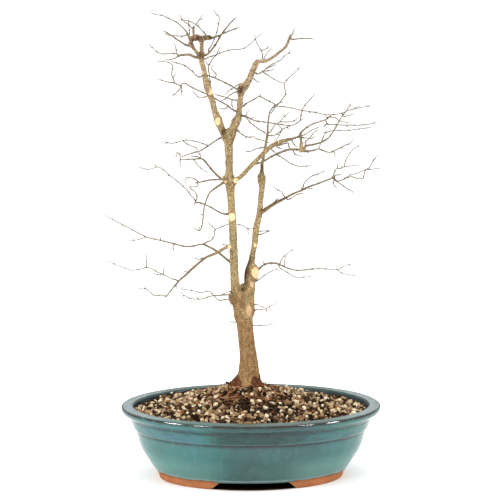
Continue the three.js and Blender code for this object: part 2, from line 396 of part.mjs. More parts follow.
function feetRing() {
  const outer = loft([
    oval(FEET.outerBottom, 0),
    oval(FEET.outerTop, POT.underside),
    oval(FEET.outerTop, FEET.sunkTo),
  ]);
  const inner = loft([oval(FEET.inner, -1), oval(FEET.inner, FEET.sunkTo + 1)]);
  const slope = (FEET.cutHalfTop - FEET.cutHalfBottom) / POT.underside;
  const cutHalf = (height) => FEET.cutHalfBottom + slope * height;
  const gap = new THREE.Shape([
    new THREE.Vector2(-cutHalf(-1), -1),
    new THREE.Vector2(cutHalf(-1), -1),
    new THREE.Vector2(cutHalf(FEET.sunkTo + 1), FEET.sunkTo + 1),
    new THREE.Vector2(-cutHalf(FEET.sunkTo + 1), FEET.sunkTo + 1),
  ]);
  const depth = 2 * POT.halfWidth;
  const cut = new THREE.ExtrudeGeometry(gap, { depth, bevelEnabled: false });
  cut.rotateX(Math.PI / 2);
  cut.translate(0, depth / 2, 0);
  return toSolid(outer).subtract(toSolid(inner)).subtract(toSolid(cut));
}

function makePot() {
  const rings = [...OUTER_WALL, ...INNER_WALL].map(([inset, height]) => oval(inset, height));
  let pot = toSolid(loft(rings)).add(feetRing());
  for (const side of [-1, 1]) {
    const hole = new THREE.CylinderGeometry(DRAIN.radius, DRAIN.radius, POT.floor, DRAIN.sides);
    hole.rotateX(Math.PI / 2);
    hole.translate(side * DRAIN.offset, 0, POT.floor);
    pot = pot.subtract(toSolid(hole));
  }
  return pot;
}

// Tree
function place(x, height, depth) {
  const onSheet = new THREE.Vector3(x, SHEET_Y, height + SHEET_FOOT);
  const reach = (SHEET_Y + depth - EYE.y) / (SHEET_Y - EYE.y);
  return new THREE.Vector3().lerpVectors(EYE, onSheet, reach);
}

function sidesFor(width) {
  const steps = [[16, 14], [9, 10], [6, 8], [3.4, 6], [2, 4], [0, 3]];
  return steps.find(([atLeast]) => width >= atLeast)[1];
}

function distanceToLine(p, a, b) {
  const along = new THREE.Vector2(b[0] - a[0], b[1] - a[1]);
  const to = new THREE.Vector2(p[0] - a[0], p[1] - a[1]);
  const length = along.length();
  return length > 0 ? Math.abs(along.cross(to)) / length : to.length();
}

// Points that stand out less than the tolerance from the line between their neighbours are left out.
function straighten(points, tolerance) {
  if (points.length < 3) return points;
  const first = points[0];
  const last = points[points.length - 1];
  let furthest = 0;
  let at = 0;
  for (let i = 1; i + 1 < points.length; i += 1) {
    const distance = distanceToLine(points[i], first, last) + Math.abs(points[i][2] - first[2]) * 0.2;
    if (distance > furthest) {
      furthest = distance;
      at = i;
    }
  }
  if (furthest < tolerance) return [first, last];
  const before = straighten(points.slice(0, at + 1), tolerance);
  const after = straighten(points.slice(at), tolerance);
  return [...before, ...after.slice(1)];
}

// Widths between the points that give one.
function withWidths(points) {
  const given = points.map((p, i) => [i, p[2]]).filter(([, width]) => width !== undefined);
  return points.map((p, i) => {
    const after = given.find(([at]) => at >= i) ?? given[given.length - 1];
    const before = [...given].reverse().find(([at]) => at <= i) ?? given[0];
    const span = after[0] - before[0];
    const share = span > 0 ? (i - before[0]) / span : 0;
    return [p[0], p[1], before[1] + (after[1] - before[1]) * share];
  });
}

function nearestOn(parent, x, height) {
  let best = null;
  for (let i = 0; i + 1 < parent.length; i += 1) {
    const a = parent[i];
    const b = parent[i + 1];
    const across = b.x - a.x;
    const up = b.height - a.height;
    const along = ((x - a.x) * across + (height - a.height) * up) / (across ** 2 + up ** 2);
    const share = THREE.MathUtils.clamp(along, 0, 1);
    const spot = {
      x: a.x + across * share,
      height: a.height + up * share,
      depth: a.depth + (b.depth - a.depth) * share,
    };
    spot.distance = Math.hypot(spot.x - x, spot.height - height);
    if (best === null || spot.distance < best.distance) best = spot;
  }
  return best;
}

// The centre line of each limb: it starts on the centre line of the limb that bears it.
function centreLines() {
  const lines = new Map();
  lines.set('trunk', TRUNK.map(([x, height, width]) => ({ x, height, width, depth: 0 })));
  LIMBS.forEach(([name, bearer, reach, drawn], number) => {
    const points = withWidths(drawn);
    const root = nearestOn(lines.get(bearer), points[0][0], points[0][1]);
    const start = root.distance < 0.5 ? [] : [[root.x, root.height, points[0][2]]];
    const path = straighten([...start, ...points], 0.7);
    const steps = path.map((p, i) => {
      const before = path[Math.max(i - 1, 0)];
      return Math.hypot(p[0] - before[0], p[1] - before[1]);
    });
    const total = steps.reduce((sum, step) => sum + step, 0);
    let run = 0;
    const line = path.map(([x, height, width], i) => {
      run += steps[i];
      const sway = SWAY.width * Math.min(1, run / SWAY.rootLength) * Math.sin(run / SWAY.length + number);
      return { x, height, width, depth: root.depth + (reach * run) / total + sway };
    });
    lines.set(name, line);
  });
  return lines;
}

function tube(line, sides, grow = 0, shape = () => 1) {
  const centres = line.map((p) => place(p.x, p.height, p.depth));
  const rings = [];
  let across = new THREE.Vector3(0, -1, 0);
  centres.forEach((centre, i) => {
    const before = centres[Math.max(i - 1, 0)];
    const after = centres[Math.min(i + 1, centres.length - 1)];
    const into = new THREE.Vector3().subVectors(centre, before).normalize();
    const out = new THREE.Vector3().subVectors(after, centre).normalize();
    const along = new THREE.Vector3().addVectors(into, out).normalize();
    if (Math.abs(across.dot(along)) > 0.9 && i === 0) across = new THREE.Vector3(1, 0, 0);
    across.addScaledVector(along, -across.dot(along)).normalize();
    const third = new THREE.Vector3().crossVectors(along, across);
    const radius = Math.max(line[i].width, THINNEST) / 2 / Math.sqrt(Math.cos(Math.PI / sides)) + grow;
    const ring = [];
    for (let side = 0; side < sides; side += 1) {
      const angle = (side / sides) * 2 * Math.PI;
      const reach = radius * shape(angle, centre.z);
      ring.push(centre.clone()
        .addScaledVector(across, reach * Math.cos(angle))
        .addScaledVector(third, reach * Math.sin(angle)));
    }
    rings.push(ring);
  });
  return toSolid(loft(rings));
}

// The roots swell the foot of the trunk in low lobes.
function flare(angle, height) {
  const fade = Math.max(0, Math.min(1, (FLARE.top - height) / 20, (height - FLARE.bottom) / 12));
  return 1 + FLARE.depth * fade * Math.cos(FLARE.lobes * angle + FLARE.phase);
}

function makeTrunk(grow = 0) {
  const line = TRUNK.map(([x, height, width]) => ({ x, height, width, depth: 0 }));
  line[0].height -= grow;
  return tube(line, TRUNK_SIDES, grow, flare);
}

function makeTree() {
  const lines = centreLines();
  const limbs = [makeTrunk()];
  for (const [name] of LIMBS) {
    const line = lines.get(name);
    const widest = Math.max(...line.map((p) => p.width));
    limbs.push(tube(line, sidesFor(widest)));
  }
  return outerShell(wasm.Manifold.union(limbs));
}

// Soil
function moundHeight(x, y) {
  const out = Math.hypot(x / (POT.halfLength - INNER_WALL[2][0]), y / (POT.halfWidth - INNER_WALL[2][0]));
  const fromTrunk = Math.hypot(x - TRUNK[0][0], y - SHEET_Y);
  const collar = SOIL.collar * Math.exp(-((fromTrunk / SOIL.collarReach) ** 2));
  const back = THREE.MathUtils.smoothstep(y, SOIL.backFrom, POT.halfWidth - INNER_WALL[2][0])
    * THREE.MathUtils.smoothstep(SOIL.rightEnd - x, -SOIL.backFrom, SOIL.backFrom);
  return SOIL.edge + SOIL.rise * (1 - Math.min(1, out * out)) + collar + SOIL.backRise * back;
}

// A block with a granular top: in a lattice of triangles every third point is the top of a grain,
// and the six round it lie in the gaps between the grains.
function grainBlock() {
  const draw = makeDraw(SOIL.seed);
  const rowStep = SOIL.lattice * Math.sin(Math.PI / 3);
  const rows = Math.ceil((2 * POT.halfWidth) / rowStep);
  const columns = Math.ceil((2 * POT.halfLength) / SOIL.lattice);
  const points = [];
  for (let row = 0; row <= rows; row += 1) {
    for (let column = 0; column <= columns; column += 1) {
      const shift = (row % 2) / 2;
      const isTop = (column + (row % 2) * 2) % 3 === 0;
      const x = (column + shift - columns / 2) * SOIL.lattice + (draw() - 0.5) * SOIL.jitter * 2;
      const y = (row - rows / 2) * rowStep + (draw() - 0.5) * SOIL.jitter * 2;
      const lift = isTop ? SOIL.grain * (0.5 + draw()) * 0.6 : -SOIL.grain * (0.2 + draw()) * 0.7;
      points.push([x, y, moundHeight(x, y) + lift]);
    }
  }
  const under = points.length;
  const all = [...points, ...points.map(([x, y]) => [x, y, 0])];
  const index = [];
  const at = (row, column) => row * (columns + 1) + column;
  for (let row = 0; row < rows; row += 1) {
    for (let column = 0; column < columns; column += 1) {
      const a = at(row, column);
      const b = at(row, column + 1);
      const c = at(row + 1, column);
      const d = at(row + 1, column + 1);
      const faces = row % 2 === 0 ? [[a, b, c], [b, d, c]] : [[a, b, d], [a, d, c]];
      for (const [p, q, r] of faces) {
        index.push(p, q, r, under + p, under + r, under + q);
      }
    }
  }
  const border = [];
  for (let column = 0; column < columns; column += 1) border.push(at(0, column));
  for (let row = 0; row < rows; row += 1) border.push(at(row, columns));
  for (let column = columns; column > 0; column -= 1) border.push(at(rows, column));
  for (let row = rows; row > 0; row -= 1) border.push(at(row, 0));
  border.forEach((p, i) => {
    const q = border[(i + 1) % border.length];
    index.push(p, under + q, q, p, under + p, under + q);
  });
  const geometry = new THREE.BufferGeometry();
  geometry.setAttribute('position', new THREE.Float32BufferAttribute(all.flat(), 3));
  geometry.setIndex(index);
  return toSolid(geometry);
}

function makeSoil() {
  const wall = [...INNER_WALL].reverse().slice(0, -1);
  const rings = wall.map(([inset, height], i) => oval(inset + GAP, height + (i === 0 ? GAP : 0)));
  const top = wall[wall.length - 1];
  rings.push(oval(top[0] + GAP, POT.height + 30));
  let soil = toSolid(loft(rings)).intersect(grainBlock()).subtract(makeTrunk(GAP));
  const base = POT.floor + GAP;
  const overMesh = base + MESH.thickness + GAP;
  const overWire = overMesh + WIRE.diameter + GAP;
  for (const side of [-1, 1]) {
    const x = side * DRAIN.offset;
    const recess = MESH.side + 2 * GAP;
    soil = soil.subtract(block(recess, recess, overMesh - base + 2, x, 0, (overMesh + base) / 2 - 1));
    const long = 2 * (WIRE.legOffset + WIRE.diameter);
    soil = soil.subtract(block(long, 2 * WIRE.diameter, 2 * WIRE.diameter, x, 0, overWire - WIRE.diameter));
  }
  return soil;
}

// Drain meshes and the wires that hold them
function makeDrainMesh(x) {
  const middle = POT.floor + GAP + MESH.thickness / 2;
  let plate = block(MESH.side, MESH.side, MESH.thickness, x, 0, middle);
  const reach = (MESH.across - 1) / 2;
  for (let i = -reach; i <= reach; i += 1) {
    for (let j = -reach; j <= reach; j += 1) {
      const acrossX = x + i * MESH.pitch;
      const acrossY = j * MESH.pitch;
      plate = plate.subtract(block(MESH.hole, MESH.hole, 2 * MESH.thickness, acrossX, acrossY, middle));
    }
  }
  return plate;
}

function makeDrainWire(x) {
  const radius = WIRE.diameter / 2;
  const high = POT.floor + GAP + MESH.thickness + GAP + radius;
  const low = POT.underside - GAP - radius;
  const half = [
    [WIRE.legOffset + WIRE.footLength, low],
    [WIRE.legOffset + WIRE.bend, low],
    [WIRE.legOffset, low + WIRE.bend],
    [WIRE.legOffset, high - WIRE.bend],
    [WIRE.legOffset - WIRE.bend, high],
  ];
  const path = [...half.map(([across, height]) => [-across, height]), ...half.reverse()];
  const centres = path.map(([across, height]) => new THREE.Vector3(x + across, 0, height));
  const rings = centres.map((centre, i) => {
    const before = centres[Math.max(i - 1, 0)];
    const after = centres[Math.min(i + 1, centres.length - 1)];
    const into = new THREE.Vector3().subVectors(centre, before).normalize();
    const out = new THREE.Vector3().subVectors(after, centre).normalize();
    const along = into.add(out).normalize();
    const across = new THREE.Vector3(0, 1, 0);
    const third = new THREE.Vector3().crossVectors(along, across);
    const ring = [];
    for (let side = 0; side < WIRE.sides; side += 1) {
      const angle = (side / WIRE.sides) * 2 * Math.PI;
      ring.push(centre.clone()
        .addScaledVector(across, radius * Math.cos(angle))
        .addScaledVector(third, radius * Math.sin(angle)));
    }
    return ring;
  });
  return toSolid(loft(rings));
}

// Looks
function finish(color, roughness, metalness = 0) {
  return new THREE.MeshStandardMaterial({ color, roughness, metalness, flatShading: true });
}

const GLAZE = finish(0x4f7f7b, 0.25);
const EARTH = finish(0xa58d66, 0.95);
const BARK = finish(0xa08b60, 0.85);
const NETTING = finish(0x26282a, 0.6);
const SOFT_WIRE = finish(0x8a6a4a, 0.45, 1);

const bonsai = new THREE.Group();

function addPiece(name, solid, material) {
  const mesh = new THREE.Mesh(toGeometry(solid), material);
  mesh.name = name;
  bonsai.add(mesh);
}

addPiece('pot', makePot(), GLAZE);
addPiece('soil', makeSoil(), EARTH);
addPiece('tree', makeTree(), BARK);
for (const [word, side] of [['left', -1], ['right', 1]]) {
  addPiece(`drain_mesh_${word}`, makeDrainMesh(side * DRAIN.offset), NETTING);
  addPiece(`drain_wire_${word}`, makeDrainWire(side * DRAIN.offset), SOFT_WIRE);
}

export default bonsai;
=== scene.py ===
import math

import bpy
import numpy as np
from bpy.props import FloatProperty, FloatVectorProperty, IntProperty, PointerProperty
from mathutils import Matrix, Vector, noise


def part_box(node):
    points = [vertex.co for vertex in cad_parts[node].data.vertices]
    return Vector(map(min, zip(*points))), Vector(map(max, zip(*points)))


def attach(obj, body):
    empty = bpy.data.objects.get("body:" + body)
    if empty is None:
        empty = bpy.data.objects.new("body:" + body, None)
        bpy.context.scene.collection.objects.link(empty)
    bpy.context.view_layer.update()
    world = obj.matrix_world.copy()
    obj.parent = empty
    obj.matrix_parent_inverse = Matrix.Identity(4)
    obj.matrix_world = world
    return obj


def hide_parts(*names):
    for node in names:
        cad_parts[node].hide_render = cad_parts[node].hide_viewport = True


# A trident maple bonsai in winter, in an oval glazed pot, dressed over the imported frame.
# The tables are in millimetres. Points are turned into metres where a mesh is made.

bl_info = {
    "name": "Trident Maple Bonsai",
    "version": (1, 0, 0),
    "blender": (4, 5, 0),
    "location": "3D View > Sidebar > Bonsai",
    "description": "Builds a leafless trident maple in an oval glazed pot with granular soil",
    "category": "Add Mesh",
}

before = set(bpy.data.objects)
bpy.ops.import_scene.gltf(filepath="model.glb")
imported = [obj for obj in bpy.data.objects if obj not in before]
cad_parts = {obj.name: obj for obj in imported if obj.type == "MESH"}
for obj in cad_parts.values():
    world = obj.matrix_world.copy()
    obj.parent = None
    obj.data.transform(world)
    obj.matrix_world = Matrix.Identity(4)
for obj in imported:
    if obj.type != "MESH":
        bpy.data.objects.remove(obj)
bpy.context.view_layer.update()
POT_LOW, POT_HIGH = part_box("pot")

MM = 0.001
BODY = "root"

# Pot
HALF_LENGTH = (POT_HIGH.x - POT_LOW.x) / 2 / MM
HALF_WIDTH = (POT_HIGH.y - POT_LOW.y) / 2 / MM
OVAL_STEPS = 256
# The walls and the foot, as insets from the rim's outer edge and heights.
OUTER_WALL = [
    (41.8, 9.4), (41.2, 9.7), (40.7, 10.5), (40.2, 11.5), (39.4, 12.7), (34.3, 20.2), (25.8, 33),
    (21.8, 42), (19.5, 51.5), (18.1, 57.2), (17.5, 59.2), (16.7, 60.1), (15.5, 60.7), (14.8, 61.8),
    (14.2, 63.4), (12.5, 68.3), (11.5, 71.4), (11.1, 73.1), (10.5, 74.5), (8, 76.4), (4.8, 78.6),
    (2.4, 79.8), (0.9, 81.1), (0, 83.2), (0, 85.6), (0.9, 87.2), (3, 88),
]
INNER_WALL = [
    (8, 88), (11.8, 88), (13.7, 87.7), (15, 86.6), (15.8, 84), (17, 80), (22, 62), (30, 42),
    (43, 24), (47, 19.4), (52, 18),
]
FOOT = [
    (43.2, 13), (43.2, 9.4), (45.4, 1.9), (45.9, 0.6), (46.8, 0), (55.2, 0), (55.8, 0.5), (56, 1.2),
    (56, 13),
]
FOOT_GAP = {"top": 40, "bottom": 50.5, "height": 9.4}  # half widths of the opening between the feet
DRAIN = {"offset": 56, "radius": 11}
GLAZE_FOOT = 11.5  # height where the glaze stops over the foot
CLAY_DEPTH = 68  # the inner wall is bare clay below this height
WALL_THICKNESS = 7.5
LOWER_BETWEEN_FEET = 2.6  # how much lower the glaze reaches between the feet
SOFT_EDGE = 0.7  # width of the bevel on the feet
# Where the glaze changes: for each change the strength, inset, height and reach of its bands.
GLAZE_SPOTS = {
    # thin: brown glaze on the rim's outer and inner edges; at the inner edge, where the rim meets the soil,
    # also painted shade.
    "thin": [(1, 0.3, 86.1, 2.3), (0.9, 14.1, 87.3, 1.2)],
    # edge: pale lines along the lip's lower edge and the band's lower edge, painted highlights.
    "edge": [(0.4, 3.6, 79.2, 1.1), (0.3, 15, 61.4, 0.9)],
    # pooled: glaze pooled dark in the grooves under the lip and the band, also painted shade there.
    "pooled": [(1, 10.3, 74.4, 2.4), (1, 17.4, 59.2, 2.6)],
    "lip": [(1, 1.2, 86.6, 4)],
}

# Soil
GAP = 0.35
SOIL = {
    "edge": 80.5, "rise": 11, "collar": 18, "collar_reach": 40, "wall": 17, "back_rise": 4, "back_from": 20,
    "right_end": 70,
}
TRUNK_FOOT = (-3.5, 30)
# The bed: its rings and their steps, and how far it lies under the soil's surface.
BED = {"rings": 40, "steps": 128, "sunk": 1.6}
BED_WALL = INNER_WALL[5:]  # the part of the inner wall that the bed lies against
# How far the grains stray from even rows and keep off the wall, and how their size and height spread.
GRAINS = {"jitter": 0.34, "margin": 1.2, "spread": (1.7, 2.2), "height": (-0.9, 0.7)}
# A grain is a ball cut by planes: how many, how near its middle, and how far its corners reach.
CHIPS = {"planes": 8, "depths": (0.52, 0.92), "reach": 1.15, "squeeze": (0.55, 1.4)}
# The lower grit's tones are held low, so its grains are dark: painted shade in the gaps between the upper
# grains.
LOWER_GRIT = {"apart": 0.96, "lift": -1.35, "tones": 0.44}
UPPER_GRIT = {"apart": 1.14, "lift": 0.35, "tones": 1.0}
# Damp soil is darker, in clumps and round a spot: its x, y, half length and half width. Grains with a
# tone above the last value stay light.
DAMP = {
    "clumps": 0.5, "spot": (10, -26, 62, 56), "middle": 0.56, "most": 0.8, "share": 0.7,
    "stays_light": 0.93,
}
FIBRES = {
    "steps": 10, "height": 103.0, "reach": 20, "length": (10, 32), "arch": (1.4, 3.4), "lift": 1.6,
    "bend": 0.3, "root_radius": (0.3, 0.5), "tip_radius": 0.18, "field": (0, 0, 132, 93),
}

# The limbs are drawn on an upright sheet through the trunk, as seen from EYE, and are then carried forward
# or back along the line of sight.
EYE = np.array([-115.1, -2197.0, 575.0])
AIM = (-1.3, 0, 273.5)
SHEET_Y = 30
SHEET_FOOT = -4
SWAY = {"width": 2.4, "length": 10, "root_length": 20}
FLARE = {"lobes": 5, "depth": 0.06, "phase": -1.57, "top": 124, "bottom": 84}
WOOD_WIDTH = 2.6  # limbs are fused into the wood where they are at least this wide
TRUNK_SIDES = 48
LIMB_SIDES = 20
END_STEPS = (0.9, 0.55)  # the rings that round a tube's end, as shares of its radius
END_WIDTHS = (0.42, 0.83)
SMOOTHING_ROUNDS = 10
SMOOTHED_RADII = (1.2, 5.5)  # the fused wood is smoothed more from the first radius to the second
ROOT_BARK = {"height": 106, "patch": (5.5, 111, 4.3, 8)}
RIDGES = {"least": 0.08, "growth": 0.022, "widest": 26}
RINGS = {"apart": (11, 24), "first": 9, "high": (0.35, 0.9), "lean": 0.6, "length": 1.3}
TWIGS = {"tip_taper": 0.12, "node_swell": 0.24, "node_length": 1.4, "thinnest": 0.8}
SPURS = {"share": 0.22, "length": (1.6, 5.5), "radii": (0.46, 0.34)}
# Buds: the widest twig that bears them, their sizes, and the rings of a bud as shares of its length.
BUDS = {
    "widest": 1.7, "sizes": (0.75, 1.15), "slim": 0.27, "steps": (0.0, 0.35, 0.7, 0.97),
    "widths": (0.7, 1.0, 0.66, 0.12),
}

# Trunk from its buried end to the fork: x, height, width.
TRUNK = [
    (-3.5, 62, 18), (-3.5, 76, 34), (-3.4, 90, 47), (-3.3, 99, 49.5), (-3.1, 104.5, 47.5),
    (-2.9, 109.5, 42), (-2.3, 114.4, 34), (-1.6, 119.3, 28), (-1.1, 126.7, 24.6), (-1.3, 140, 21.6),
    (-2.5, 150, 20), (-4.8, 170, 19.1), (-5.7, 180, 19.4), (-6.6, 190, 20.4), (-7.6, 200, 24.8),
    (-8, 210, 22), (-8, 222, 16), (-8.3, 229, 9), (-8.4, 231, 5),
]
TRUNK_IN_SOIL = TRUNK[:7]

